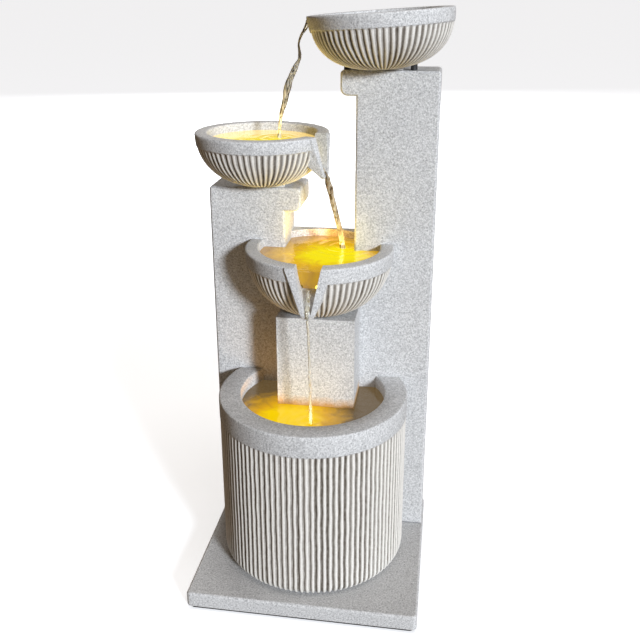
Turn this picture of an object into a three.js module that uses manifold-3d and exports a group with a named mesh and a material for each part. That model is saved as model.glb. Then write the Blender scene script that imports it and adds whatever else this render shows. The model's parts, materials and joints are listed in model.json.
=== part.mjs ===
// Four-level tabletop water fountain, cast stone, millimetres, +Z up.
// The origin is the centre of the base's underside; the basin faces -Y.
import * as THREE from 'three';
import { mergeVertices } from 'three/addons/utils/BufferGeometryUtils.js';
import { ConvexGeometry } from 'three/addons/geometries/ConvexGeometry.js';
import Module from 'manifold-3d';

const wasm = await Module();
wasm.setup();

// ---- driving dimensions ----
const GLUE = 0.3; // bond line or running gap between neighbouring pieces
const SKIN = 5; // wall thickness of the hollow castings

// base
const BASE_WIDTH = 160;
const BASE_DEPTH = 140;
const BASE_THICK = 11.5;
const BASE_CORNER = 3;
const PAD_THICK = 1.5;
const PAD_INSET = 2;

// back wall with its low and tall columns
const WALL_DEPTH = 36;
const WALL_INSET_LEFT = 0.4;
const WALL_INSET_RIGHT = 1.2;
const WALL_INSET_BACK = 1;
const WALL_EDGE = 1.2; // rounding of the cast edges
const LOW_RISE = 82.3; // low column above the pedestal block
const TALL_RISE = 80.2; // tall column above the low one
const NOTCH_LEFT = -25.6;
const NOTCH_RIGHT = 23.7;
const CORBEL_REACH_LOW = 11.4;
const CORBEL_REACH_TALL = 10.5;
const CORBEL_HEIGHT = 16.6;
const CORBEL_RADIUS = 5;

// basin
const BASIN_X = -1.5;
const BASIN_Y = 3.9;
const BASIN_RADIUS = 66.8;
const BASIN_WALL = 15.6;
const BASIN_RIM = 139.6;
const BASIN_FLOOR = 5.7;
const BASIN_FOOT = 8;
const BASIN_CHAMFER = 1.2;

// pedestal block that stands in the basin and hides the pump
const BLOCK_LEFT = -26.1;
const BLOCK_RIGHT = 28.4;
const BLOCK_FRONT = -1.9;
const BLOCK_RISE = 56.6; // above the basin's rim
const BLOCK_WALL = 4;
const BLOCK_CROWN = 10;

// bowls: outer radius, depth, wall and centre; round is the exponent of the super-ellipse section
const BOWL_SIDES = 36;
const TRIM = 2; // height that is modelled above a rim and cut off flat
const MIDDLE = { radius: 51.8, depth: 47.7, wall: 9.6, round: 2.2, x: 0.5, y: 23.4 };
const MIDDLE_SINK = 2.7;
const LEFT = { radius: 46.1, depth: 37.3, wall: 8.7, round: 2.2, x: -40.9, y: 36.2 };
const LEFT_SEAT = 2;
const TOP = { radius: 46.9, depth: 35.9, wall: 8.6, round: 2.5, x: 39.1, y: 36.2 };
const TOP_TILT = 3.7; // degrees, leaning to its pouring lip
const TOP_SEAT = 1.2;
const SEAT_RADIUS = 15;
const BUMPER_REACH = 22; // from the top bowl's axis

// spouts, measured from the rim: half widths, drop below the rim and reach past the rim
const MIDDLE_SPOUT = { turn: -90, mouth: 16.5, channel: 9.4, tip: 4.6, slot: 1.7, drop: 34.5, reach: 1.5 };
const LEFT_SPOUT = { turn: -18, mouth: 15, channel: 8.4, tip: 4.2, slot: 1.6, drop: 29.3, reach: 3 };
const SPOUT_SILL = 11.5;
const LIP_REACH = 1.2;
const LIP_WIDTH = 26;
const LIP_DROP = 8;

// submerged lamps
const LAMP_RADIUS = 9;
const LAMP_HEIGHT = 6;
const LENS_RADIUS = 7;
const LAMP_LEAD = 1.1;
const LEAD_HOLE = 1.7;
const BASIN_LAMP_Y = -17;

// pump
const PUMP_LENGTH = 30;
const PUMP_WIDTH = 23;
const PUMP_HEIGHT = 26.7;
const PUMP_COVER = 7.7;
const ROTOR_RADIUS = 8;
const SHAFT_RADIUS = 1;
const SHAFT_GAP = 0.1;
const CUP_HEIGHT = 5.7;
const NOZZLE_RADIUS = 3.6;
const NOZZLE_BORE = 2.4;
const NOZZLE_LENGTH = 10;
const PUMP_LEAD = 1.5;

// riser hose and its outlet in the top bowl
const HOSE_GAP = 0.3;
const HOSE_WALL = 1.5;
const OUTLET_X = 41;
const OUTLET_Y = 46.5;
const OUTLET_THREAD = 5;

// rear covers, door and fasteners
const COVER_THICK = 2.7;
const COVER_RECESS = 0.8;
const COVER_GAP = 0.4;
const COVER_MARGIN = 8;
const BOSS_RADIUS = 4.5;
const PILOT_RADIUS = 1.5;
const SCREW_RADIUS = 1.2;
const SCREW_HEAD = 2.8;
const SCREW_LENGTH = 10;
const DOOR_WIDTH = 56;
const DOOR_HEIGHT = 44;
const DOOR_MARGIN = 9.1; // below the underside of the middle pool
const DOOR_LAP = 3.5;
const DOOR_PLUG = 6;
const DOOR_PULL = 6;

// electrical
const DRIVER = { width: 34, depth: 20, height: 26, wall: 2, z: 70, fromRight: 12 };
const INLET_FROM_RIGHT = 22;
const INLET_Z = 40;
const INLET_RADIUS = 5.5;
const INLET_NECK = 3.7;
const INLET_BORE = 2.75;

// ---- places worked out from the sizes ----
const BLOCK_TOP = BASIN_RIM + BLOCK_RISE;
const LOW_TOP = BLOCK_TOP + LOW_RISE;
const TALL_TOP = LOW_TOP + TALL_RISE;
const BASE_TOP = PAD_THICK + GLUE + BASE_THICK;
const WALL_LEFT = -BASE_WIDTH / 2 + WALL_INSET_LEFT;
const WALL_RIGHT = BASE_WIDTH / 2 - WALL_INSET_RIGHT;
const WALL_BACK = BASE_DEPTH / 2 - WALL_INSET_BACK;
const WALL_FRONT = WALL_BACK - WALL_DEPTH;
const WALL_FOOT = BASE_TOP + GLUE;
const CAVITY_FRONT = WALL_FRONT + SKIN;
const BLOCK_BACK = WALL_FRONT - GLUE;
const BASIN_FOOT_Z = BASE_TOP + GLUE;
const FLOOR_TOP = BASIN_FOOT_Z + BASIN_FLOOR;
const BLOCK_FOOT = FLOOR_TOP + GLUE;
const MIDDLE_FOOT = BLOCK_TOP - MIDDLE_SINK;
const MIDDLE_RIM = MIDDLE_FOOT + MIDDLE.depth;
const LEFT_FOOT = LOW_TOP + LEFT_SEAT;
const LEFT_RIM = LEFT_FOOT + LEFT.depth;
const TOP_FOOT = TALL_TOP + TOP_SEAT;
const TOP_RIM = TOP_FOOT + TOP.depth;
const POOL_FLOOR = MIDDLE_RIM - MIDDLE.depth + MIDDLE.wall + 1;
const COVER_BACK = WALL_BACK - COVER_RECESS;
const COVER_FRONT = COVER_BACK - COVER_THICK;
const CAVITY = {
  left: WALL_LEFT + SKIN,
  right: WALL_RIGHT - SKIN,
  bottom: WALL_FOOT + SKIN,
  notchLeft: NOTCH_LEFT - SKIN,
  notchRight: NOTCH_RIGHT + SKIN,
  notchTop: POOL_FLOOR - SKIN,
  lowTop: LOW_TOP - SKIN,
  tallTop: TALL_TOP - SKIN,
};
const BAY_LEFT = BLOCK_LEFT + BLOCK_WALL;
const BAY_RIGHT = BLOCK_RIGHT - BLOCK_WALL;
const BAY_FRONT = BLOCK_FRONT + BLOCK_WALL;
const BAY_TOP = BLOCK_TOP - BLOCK_CROWN;
const HATCH_FOOT = BASIN_RIM + 6.4;
const PUMP_X = BAY_RIGHT - 1.4 - PUMP_LENGTH;
const PUMP_Y = BLOCK_BACK - 3.2 - PUMP_WIDTH / 2;
const PUMP_FOOT = BLOCK_FOOT + CUP_HEIGHT + GLUE;
const PUMP_TOP = PUMP_FOOT + PUMP_HEIGHT;
const PUMP_AXIS_Z = PUMP_FOOT + PUMP_HEIGHT / 2 - 0.7;
const VOLUTE_DEPTH = 6;
const NOZZLE_X = PUMP_X + NOZZLE_RADIUS + 0.4;
const HOSE_BORE = NOZZLE_RADIUS + HOSE_GAP;
const HOSE_RADIUS = HOSE_BORE + HOSE_WALL;
const DOOR_X = (NOTCH_LEFT + NOTCH_RIGHT) / 2;
const DOOR_Z = CAVITY.notchTop - DOOR_MARGIN - DOOR_HEIGHT / 2;
const LEFT_LEAD_Y = LEFT.y + LAMP_RADIUS - 1;
const DRIVER_LEFT = CAVITY.right - DRIVER.fromRight - DRIVER.width;
const DRIVER_FRONT = CAVITY_FRONT + GLUE;
const INLET_X = CAVITY.right - INLET_FROM_RIGHT;

// ---- finishes ----
const finish = (color, roughness, metalness = 0) =>
  new THREE.MeshStandardMaterial({ color, roughness, metalness });
const STONE = finish(0xc9c8c4, 0.85);
const FOAM = finish(0x2c2c2e, 0.95);
const COVER_PLASTIC = finish(0x8b8b89, 0.6);
const PUMP_PLASTIC = finish(0x202326, 0.45);
const RUBBER = finish(0x1b1b1c, 0.9);
const HOSE_VINYL = finish(0xdfe6e4, 0.3);
const LENS_CLEAR = finish(0xffd84a, 0.15);
const STEEL = finish(0xb5b5b8, 0.35, 1);
const MAGNET = finish(0x3b3b3f, 0.5, 0.3);
const BOARD_GREEN = finish(0x23603b, 0.5);
const NICKEL = finish(0xc2bfb6, 0.3, 1);
const SILICONE = finish(0xe8e8e6, 0.5);

// ---- solids ----
// A closed manifold solid from any closed three.js geometry.
function solid(geometry) {
  const plain = geometry.clone();
  for (const key of ['normal', 'uv']) {
    if (plain.getAttribute(key)) {
      plain.deleteAttribute(key);
    }
  }
  const merged = mergeVertices(plain, 1e-4);
  const points = merged.getAttribute('position').array;
  const source = merged.index.array;
  const faces = [];
  let volume = 0;
  for (let i = 0; i < source.length; i += 3) {
    const [a, b, c] = [source[i], source[i + 1], source[i + 2]];
    if (a === b || b === c || c === a) {
      continue;
    }
    faces.push(a, b, c);
    const pa = new THREE.Vector3().fromArray(points, 3 * a);
    const pb = new THREE.Vector3().fromArray(points, 3 * b);
    const pc = new THREE.Vector3().fromArray(points, 3 * c);
    volume += pa.dot(pb.cross(pc));
  }
  if (volume < 0) {
    for (let i = 0; i < faces.length; i += 3) {
      [faces[i], faces[i + 1]] = [faces[i + 1], faces[i]];
    }
  }
  const vertProperties = new Float32Array(points);
  const triVerts = new Uint32Array(faces);
  return new wasm.Manifold(new wasm.Mesh({ numProp: 3, vertProperties, triVerts }));
}

// A named mesh from a finished manifold solid.
function piece(name, body, material) {
  const { vertProperties, triVerts } = body.getMesh();
  const geometry = new THREE.BufferGeometry();
  geometry.setAttribute('position', new THREE.BufferAttribute(vertProperties, 3));
  geometry.setIndex(new THREE.BufferAttribute(triVerts, 1));
  geometry.computeVertexNormals();
  const mesh = new THREE.Mesh(geometry, material);
  mesh.name = name;
  return mesh;
}

function box(x0, x1, y0, y1, z0, z1) {
  const geometry = new THREE.BoxGeometry(x1 - x0, y1 - y0, z1 - z0);
  geometry.translate((x0 + x1) / 2, (y0 + y1) / 2, (z0 + z1) / 2);
  return solid(geometry);
}

// Cylinder or cone from one height to another, along X, Y or Z.
function rod(axis, start, end, [u, v], radius, sides = 16, endRadius = radius) {
  const geometry = new THREE.CylinderGeometry(endRadius, radius, end - start, sides);
  geometry.translate(0, (start + end) / 2, 0);
  if (axis === 'x') {
    geometry.rotateZ(-Math.PI / 2);
    geometry.translate(0, u, v);
  } else if (axis === 'y') {
    geometry.translate(u, 0, v);
  } else {
    geometry.rotateX(Math.PI / 2);
    geometry.translate(u, v, 0);
  }
  return solid(geometry);
}

// Solid of revolution about a vertical axis; each point is [radius, height].
function turned(points, sides, x = 0, y = 0) {
  const profile = points.map(([r, z]) => new THREE.Vector2(r, z));
  const geometry = new THREE.LatheGeometry(profile, sides);
  geometry.rotateX(Math.PI / 2);
  geometry.translate(x, y, 0);
  return solid(geometry);
}

function rounded(shape, x, y, radius, fromAngle, toAngle) {
  shape.absarc(x, y, radius, fromAngle, toAngle, fromAngle > toAngle);
}

// Slab with a rounded outline and rounded long edges, lying flat.
function slab(width, depth, z0, z1, corner, edge) {
  const shape = new THREE.Shape();
  const [hx, hy] = [width / 2 - corner, depth / 2 - corner];
  rounded(shape, hx, hy, corner, 0, Math.PI / 2);
  rounded(shape, -hx, hy, corner, Math.PI / 2, Math.PI);
  rounded(shape, -hx, -hy, corner, Math.PI, 1.5 * Math.PI);
  rounded(shape, hx, -hy, corner, 1.5 * Math.PI, 2 * Math.PI);
  shape.closePath();
  const geometry = new THREE.ExtrudeGeometry(shape, {
    depth: z1 - z0 - 2 * edge,
    bevelEnabled: edge > 0,
    bevelThickness: edge,
    bevelSize: edge,
    bevelOffset: -edge,
    bevelSegments: 2,
    curveSegments: 3,
  });
  geometry.translate(0, 0, z0 + edge);
  return solid(geometry);
}

// Upright plate from an outline in X and Z, between two Y planes.
function upright(shape, y0, y1, edge = 0) {
  const geometry = new THREE.ExtrudeGeometry(shape, {
    depth: y1 - y0 - 2 * edge,
    bevelEnabled: edge > 0,
    bevelThickness: edge,
    bevelSize: edge,
    bevelOffset: -edge,
    bevelSegments: 1,
    curveSegments: 3,
  });
  geometry.rotateX(Math.PI / 2);
  geometry.translate(0, y1 - edge, 0);
  return solid(geometry);
}

function outline(points) {
  return new THREE.Shape(points.map(([x, z]) => new THREE.Vector2(x, z)));
}

// Round tube or cord along a smooth curve through the points.
function along(points, radius, bore, steps, sides) {
  const path = new THREE.CatmullRomCurve3(points.map((p) => new THREE.Vector3(...p)), false, 'centripetal');
  const ring = (r) => {
    const list = [];
    for (let i = 0; i < sides; i += 1) {
      const angle = (2 * Math.PI * i) / sides;
      list.push(new THREE.Vector2(r * Math.cos(angle), r * Math.sin(angle)));
    }
    return list;
  };
  const shape = new THREE.Shape(ring(radius));
  if (bore > 0) {
    shape.holes.push(new THREE.Path(ring(bore)));
  }
  const geometry = new THREE.ExtrudeGeometry(shape, { steps, extrudePath: path, bevelEnabled: false });
  return solid(geometry);
}

// ---- base ----
function basePad() {
  return slab(BASE_WIDTH - 2 * PAD_INSET, BASE_DEPTH - 2 * PAD_INSET, 0, PAD_THICK, BASE_CORNER, 0);
}

function basePlate() {
  return slab(BASE_WIDTH, BASE_DEPTH, PAD_THICK + GLUE, BASE_TOP, BASE_CORNER, 1.4);
}

// ---- back wall ----
function wallOutline() {
  const soft = 2.2;
  const shape = new THREE.Shape();
  shape.moveTo(WALL_LEFT, WALL_FOOT);
  shape.lineTo(WALL_RIGHT, WALL_FOOT);
  rounded(shape, WALL_RIGHT - soft, TALL_TOP - soft, soft, 0, Math.PI / 2);
  const tallEdge = NOTCH_RIGHT - CORBEL_REACH_TALL;
  const tallUnder = TALL_TOP - CORBEL_HEIGHT;
  rounded(shape, tallEdge + soft, TALL_TOP - soft, soft, Math.PI / 2, Math.PI);
  rounded(shape, tallEdge + CORBEL_RADIUS, tallUnder + CORBEL_RADIUS, CORBEL_RADIUS, Math.PI, 1.5 * Math.PI);
  shape.lineTo(NOTCH_RIGHT, tallUnder);
  shape.lineTo(NOTCH_RIGHT, POOL_FLOOR);
  shape.lineTo(NOTCH_LEFT, POOL_FLOOR);
  const lowEdge = NOTCH_LEFT + CORBEL_REACH_LOW;
  const lowUnder = LOW_TOP - CORBEL_HEIGHT;
  shape.lineTo(NOTCH_LEFT, lowUnder);
  const lowRound = [lowEdge - CORBEL_RADIUS, lowUnder + CORBEL_RADIUS];
  rounded(shape, ...lowRound, CORBEL_RADIUS, 1.5 * Math.PI, 2 * Math.PI);
  rounded(shape, lowEdge - soft, LOW_TOP - soft, soft, 0, Math.PI / 2);
  rounded(shape, WALL_LEFT + soft, LOW_TOP - soft, soft, Math.PI / 2, Math.PI);
  shape.closePath();
  return shape;
}

function cavityOutline() {
  return outline([
    [CAVITY.left, CAVITY.bottom],
    [CAVITY.right, CAVITY.bottom],
    [CAVITY.right, CAVITY.tallTop],
    [CAVITY.notchRight, CAVITY.tallTop],
    [CAVITY.notchRight, CAVITY.notchTop],
    [CAVITY.notchLeft, CAVITY.notchTop],
    [CAVITY.notchLeft, CAVITY.lowTop],
    [CAVITY.left, CAVITY.lowTop],
  ]);
}

// Screw places of the three rear covers, as [x, z].
function screwPlaces() {
  const inLeft = CAVITY.left + COVER_MARGIN;
  const inRight = CAVITY.right - COVER_MARGIN;
  const low = CAVITY.bottom + COVER_MARGIN;
  const seam = CAVITY.notchTop;
  const lowMiddle = (CAVITY.left + CAVITY.notchLeft) / 2;
  const tallMiddle = (CAVITY.right + CAVITY.notchRight) / 2;
  return [
    [inLeft, low],
    [inRight, low],
    [inLeft, seam - COVER_MARGIN],
    [inRight, seam - COVER_MARGIN],
    [lowMiddle, seam + COVER_MARGIN],
    [lowMiddle, CAVITY.lowTop - COVER_MARGIN],
    [inRight, seam + COVER_MARGIN],
    [inRight, CAVITY.tallTop - COVER_MARGIN],
  ];
}

function backWall() {
  let body = upright(wallOutline(), WALL_FRONT, WALL_BACK, WALL_EDGE);
  body = body.subtract(upright(cavityOutline(), CAVITY_FRONT, WALL_BACK + 1));
  const lip = box(NOTCH_LEFT - 1, NOTCH_RIGHT + 1, WALL_BACK - 18, WALL_BACK, POOL_FLOOR - 1, MIDDLE_RIM);
  const poolRadius = MIDDLE.radius - MIDDLE.wall;
  body = body.add(lip.subtract(rod('z', 0, MIDDLE_RIM + 1, [MIDDLE.x, MIDDLE.y], poolRadius, 36)));
  for (const [x, z] of screwPlaces()) {
    const boss = rod('y', CAVITY_FRONT - 1, COVER_FRONT - GLUE, [x, z], BOSS_RADIUS, 10);
    const pilot = rod('y', COVER_FRONT - SCREW_LENGTH - 2, COVER_FRONT, [x, z], PILOT_RADIUS, 8);
    body = body.add(boss).subtract(pilot);
  }
  const hatch = box(BAY_LEFT + 2, BAY_RIGHT - 2, WALL_FRONT - 1, CAVITY_FRONT + 1, HATCH_FOOT, BAY_TOP - 2);
  const riserHole = OUTLET_THREAD + GLUE;
  return body
    .subtract(hatch)
    .subtract(rod('z', CAVITY.tallTop - 1, TALL_TOP + 1, [OUTLET_X, OUTLET_Y], riserHole))
    .subtract(rod('z', CAVITY.lowTop - 1, LOW_TOP + 1, [LEFT.x, LEFT_LEAD_Y], LEAD_HOLE, 8));
}

// ---- basin ----
function basin() {
  const inner = BASIN_RADIUS - BASIN_WALL;
  const profile = [[0, BASIN_FOOT_Z]];
  for (let i = 0; i <= 5; i += 1) {
    const angle = (Math.PI / 2) * (i / 5);
    profile.push([
      BASIN_RADIUS - BASIN_FOOT + BASIN_FOOT * Math.sin(angle),
      BASIN_FOOT_Z + BASIN_FOOT - BASIN_FOOT * Math.cos(angle),
    ]);
  }
  profile.push([BASIN_RADIUS, BASIN_RIM - BASIN_CHAMFER]);
  profile.push([BASIN_RADIUS - BASIN_CHAMFER, BASIN_RIM]);
  profile.push([inner + BASIN_CHAMFER / 2, BASIN_RIM]);
  profile.push([inner, BASIN_RIM - BASIN_CHAMFER]);
  profile.push([inner, FLOOR_TOP]);
  profile.push([0, FLOOR_TOP]);
  const body = turned(profile, 56, BASIN_X, BASIN_Y);
  return body.subtract(box(-200, 200, WALL_FRONT - GLUE, 200, 0, 400));
}

// ---- bowls ----
// Outer or inner section of a bowl below its rim: a super-ellipse with a flat foot.
function bowlSection(radius, depth, round, steps) {
  const points = [];
  const flat = 0.985;
  for (let i = 0; i <= steps; i += 1) {
    const drop = flat * depth * Math.sin((Math.PI / 2) * (i / steps));
    points.push([radius * (1 - (drop / depth) ** round) ** (1 / round), -drop / flat]);
  }
  return points;
}

// The bowl's outer form about its own axis, rim in the plane z = 0, raised by a trim allowance.
function bowlFilled({ radius, depth, round }, above = 0) {
  const outer = bowlSection(radius, depth, round, 8).reverse();
  const brim = above > 0 ? [[radius, above]] : [];
  return turned([[0, -depth], ...outer, ...brim, [0, above]], BOWL_SIDES);
}

// The hollow of a bowl, open upward past the trim allowance.
function bowlHollow({ radius, depth, wall, round }) {
  const inner = bowlSection(radius - wall, depth - wall, round, 6).reverse();
  return turned([[0, wall - depth], ...inner, [radius - wall, TRIM + 1], [0, TRIM + 1]], BOWL_SIDES);
}

// A bowl with something added at its rim and a channel cut, trimmed flat at the rim.
function openBowl(bowl, extra, channel) {
  const above = box(-100, 100, -100, 100, 0, 50);
  return bowlFilled(bowl, TRIM).add(extra).subtract(bowlHollow(bowl)).subtract(channel).subtract(above);
}

function hull(points) {
  return solid(new ConvexGeometry(points.map((p) => new THREE.Vector3(...p))));
}

const bothSides = (rows) => rows.flatMap(([u, v, z]) => [[u, v, z], [u, -v, z]]);

// Beak of a spout along +X: two wings that close to a low tip.
function spoutBeak({ radius }, spout) {
  const front = radius - 0.8;
  return hull(bothSides([
    [radius * 0.6, spout.mouth, TRIM],
    [front, spout.mouth * 0.95, TRIM],
    [front, spout.mouth * 0.95, 0],
    [radius + spout.reach, spout.tip, -spout.drop + 2.5],
    [radius + spout.reach - 1, spout.tip * 0.8, -spout.drop],
    [radius * 0.6, spout.mouth, -spout.drop * 0.3],
  ]));
}

// Channel between the wings, from a sill at the bowl's inside to the tip.
function spoutChannel({ radius, wall }, spout) {
  const start = radius - 2 * wall;
  const end = radius + spout.reach + 2;
  return hull(bothSides([
    [start, spout.channel, TRIM + 1],
    [end, spout.channel, TRIM + 1],
    [start, spout.channel * 0.75, -SPOUT_SILL],
    [radius - wall - 1, spout.channel * 0.7, -SPOUT_SILL],
    [end, spout.slot, -spout.drop + 1.2],
  ]));
}

function spoutedBowl(bowl, spout) {
  return openBowl(bowl, spoutBeak(bowl, spout), spoutChannel(bowl, spout)).rotate([0, 0, spout.turn]);
}

function middleBowl() {
  const body = spoutedBowl(MIDDLE, MIDDLE_SPOUT).translate([MIDDLE.x, MIDDLE.y, MIDDLE_RIM]);
  const leadHole = rod('z', 0, MIDDLE_RIM, [MIDDLE.x, MIDDLE.y], LEAD_HOLE, 8);
  return body.subtract(box(-200, 200, BLOCK_BACK, 200, 0, 400)).subtract(leadHole);
}

function leftBowl() {
  const body = spoutedBowl(LEFT, LEFT_SPOUT).translate([LEFT.x, LEFT.y, LEFT_RIM]);
  return body.subtract(rod('z', 0, LEFT_RIM, [LEFT.x, LEFT_LEAD_Y], LEAD_HOLE, 8));
}

// Short pouring lip on the left of the top bowl.
function pouringLip({ radius, wall }) {
  const half = LIP_WIDTH / 2;
  return hull(bothSides([
    [-(radius - wall / 2), half, TRIM],
    [-(radius - wall / 2), half * 0.8, -LIP_DROP * 1.4],
    [-(radius + LIP_REACH * 0.7), half * 0.62, TRIM],
    [-(radius + LIP_REACH), half * 0.34, -1.5],
    [-(radius + LIP_REACH), half * 0.3, -LIP_DROP * 0.5],
    [-(radius - 1), half * 0.6, -LIP_DROP * 1.35],
  ]));
}

function lipChannel({ radius, wall }) {
  const end = radius + LIP_REACH + 2;
  return hull(bothSides([
    [-(radius - 2 * wall), 7, TRIM + 1],
    [-end, 5, TRIM + 1],
    [-(radius - 2 * wall), 4, -4.5],
    [-end, 2.4, -3.5],
  ]));
}

function placeTop(body) {
  return body.rotate([0, -TOP_TILT, 0]).translate([TOP.x, TOP.y, TOP_RIM]);
}

function topBowl() {
  const body = placeTop(openBowl(TOP, pouringLip(TOP), lipChannel(TOP)));
  const padTop = outletSeat();
  const pad = rod('z', TOP_FOOT + TOP.wall / 2, padTop, [OUTLET_X, OUTLET_Y], 9);
  return body.add(pad).subtract(rod('z', 0, padTop + 1, [OUTLET_X, OUTLET_Y], OUTLET_THREAD + GLUE));
}

// Height of the flat pad inside the top bowl that the outlet's flange sits on.
function outletSeat() {
  return TOP_FOOT + TOP.wall + 4;
}

// Disc under a bowl, hollowed to the bowl's underside.
function bowlSeat(x, y, z, height, underside, hole) {
  const disc = rod('z', z + GLUE, z + height, [x, y], SEAT_RADIUS, 28);
  return disc.subtract(underside.translate([0, 0, -GLUE])).subtract(hole);
}

function leftSeat() {
  const underside = bowlFilled(LEFT).translate([LEFT.x, LEFT.y, LEFT_RIM]);
  const hole = rod('z', 0, LEFT_RIM, [LEFT.x, LEFT_LEAD_Y], LEAD_HOLE, 8);
  const trim = box(-200, 200, WALL_FRONT - 20, WALL_FRONT + 2, 0, 400);
  return bowlSeat(LEFT.x, LEFT.y, LOW_TOP, LEFT_SEAT + 2, underside, hole).subtract(trim);
}

function topSeat() {
  const hole = rod('z', 0, TOP_RIM, [OUTLET_X, OUTLET_Y], OUTLET_THREAD + GLUE);
  const trim = box(-200, 200, WALL_FRONT - 20, WALL_FRONT + 2, 0, 500);
  return bowlSeat(TOP.x, TOP.y, TALL_TOP, TOP_SEAT + 2, placeTop(bowlFilled(TOP)), hole).subtract(trim);
}

// Rubber bumpers that level the tilted top bowl on its column.
function topBumpers() {
  const lift = 14;
  return [6, 90, 174].map((degrees, i) => {
    const angle = THREE.MathUtils.degToRad(degrees);
    const place = [TOP.x + BUMPER_REACH * Math.cos(angle), TOP.y + BUMPER_REACH * Math.sin(angle)];
    const post = rod('z', TALL_TOP + GLUE, TALL_TOP + lift, place, 2.3, 10, 2);
    const body = post.subtract(placeTop(bowlFilled(TOP)).translate([0, 0, -GLUE]));
    return piece(`bowl_bumper_${i + 1}`, body, RUBBER);
  });
}

// ---- pedestal block ----
function pedestalBlock() {
  const outer = box(BLOCK_LEFT, BLOCK_RIGHT, BLOCK_FRONT, BLOCK_BACK, BLOCK_FOOT, BLOCK_TOP);
  const bay = box(BAY_LEFT, BAY_RIGHT, BAY_FRONT, BLOCK_BACK + 1, BLOCK_FOOT - 1, BAY_TOP);
  const socket = bowlFilled(MIDDLE).translate([MIDDLE.x, MIDDLE.y, MIDDLE_RIM - GLUE]);
  const beak = spoutBeak(MIDDLE, MIDDLE_SPOUT)
    .rotate([0, 0, MIDDLE_SPOUT.turn])
    .translate([MIDDLE.x, MIDDLE.y, MIDDLE_RIM - GLUE]);
  let body = outer.subtract(bay).subtract(socket).subtract(beak);
  body = body.subtract(
    rod('z', BAY_TOP - 1, BLOCK_TOP, [MIDDLE.x, MIDDLE.y], LEAD_HOLE, 8),
  );
  for (let i = 0; i < 3; i += 1) {
    const y = BAY_FRONT + 6 + 8 * i;
    body = body.subtract(box(BLOCK_LEFT - 1, BLOCK_RIGHT + 1, y, y + 3, BLOCK_FOOT + 4, BLOCK_FOOT + 34));
  }
  const leadAt = [BAY_LEFT + 2.3, BLOCK_FOOT + 10];
  const leadHole = rod('y', BLOCK_FRONT - 1, BAY_FRONT + 1, leadAt, LEAD_HOLE + 1, 8);
  return body.subtract(leadHole);
}

// ---- lamps ----
// Round lamp: a cup with a domed lens, as [cup, lens], standing at a place.
function lamp(x, y, z) {
  const rim = z + LAMP_HEIGHT;
  const cup = turned([
    [0, z],
    [LAMP_RADIUS - 1, z],
    [LAMP_RADIUS, z + 1],
    [LAMP_RADIUS, rim - 0.6],
    [LAMP_RADIUS - 0.6, rim],
    [LENS_RADIUS + GLUE, rim],
    [LENS_RADIUS + GLUE, rim - 2.4],
    [0, rim - 2.4],
  ], 16, x, y);
  const lens = turned([
    [0, rim - 2.1],
    [LENS_RADIUS, rim - 2.1],
    [LENS_RADIUS, rim - 0.2],
    [LENS_RADIUS * 0.7, rim + 0.7],
    [0, rim + 1.1],
  ], 16, x, y);
  return [cup, lens];
}

// Lowest height at which a lamp sits inside a bowl.
function lampFoot({ radius, depth, wall, round }, rim) {
  const inner = radius - wall;
  const drop = (depth - wall) * (1 - (LAMP_RADIUS / inner) ** round) ** (1 / round);
  return rim - drop + 1;
}

const LEFT_LAMP_Z = lampFoot(LEFT, LEFT_RIM);
const MIDDLE_LAMP_Z = lampFoot(MIDDLE, MIDDLE_RIM);
const BASIN_LAMP_Z = FLOOR_TOP + GLUE;

function lampPieces() {
  const places = {
    left: [LEFT.x, LEFT.y, LEFT_LAMP_Z],
    middle: [MIDDLE.x, MIDDLE.y, MIDDLE_LAMP_Z],
    basin: [MIDDLE.x, BASIN_LAMP_Y, BASIN_LAMP_Z],
  };
  return Object.entries(places).flatMap(([name, place]) => {
    const [cup, lens] = lamp(...place);
    return [piece(`${name}_lamp_cup`, cup, PUMP_PLASTIC), piece(`${name}_lamp_lens`, lens, LENS_CLEAR)];
  });
}

// ---- pump ----
function suctionCups() {
  const places = [PUMP_X + 7, PUMP_X + PUMP_LENGTH - 7];
  return places.map((x, i) => {
    const body = turned([
      [0, BLOCK_FOOT + 2],
      [3, BLOCK_FOOT + 1.6],
      [6.4, BLOCK_FOOT],
      [6.6, BLOCK_FOOT + 0.6],
      [3.2, BLOCK_FOOT + 3],
      [2.4, BLOCK_FOOT + CUP_HEIGHT],
      [0, BLOCK_FOOT + CUP_HEIGHT],
    ], 14, x, PUMP_Y);
    return piece(`suction_cup_${i + 1}`, body, RUBBER);
  });
}

function pumpBox(x0, x1) {
  const half = PUMP_WIDTH / 2;
  return box(x0, x1, PUMP_Y - half, PUMP_Y + half, PUMP_FOOT, PUMP_TOP);
}

function pumpBody() {
  const axis = [PUMP_Y, PUMP_AXIS_Z];
  const end = PUMP_X + PUMP_LENGTH;
  const magnetEnd = end - 8;
  const shaftBore = SHAFT_RADIUS + SHAFT_GAP;
  return pumpBox(PUMP_X, end)
    .add(rod('z', PUMP_TOP - 1, PUMP_TOP + NOZZLE_LENGTH, [NOZZLE_X, PUMP_Y], NOZZLE_RADIUS))
    .subtract(rod('x', PUMP_X - 1, PUMP_X + VOLUTE_DEPTH, axis, ROTOR_RADIUS + 2))
    .subtract(rod('x', PUMP_X + VOLUTE_DEPTH - 1, magnetEnd, axis, ROTOR_RADIUS + 0.3))
    .subtract(rod('x', magnetEnd - 1, magnetEnd + 2.5, axis, shaftBore))
    .subtract(rod('z', PUMP_AXIS_Z, PUMP_TOP + NOZZLE_LENGTH + 1, [NOZZLE_X, PUMP_Y], NOZZLE_BORE));
}

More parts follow.
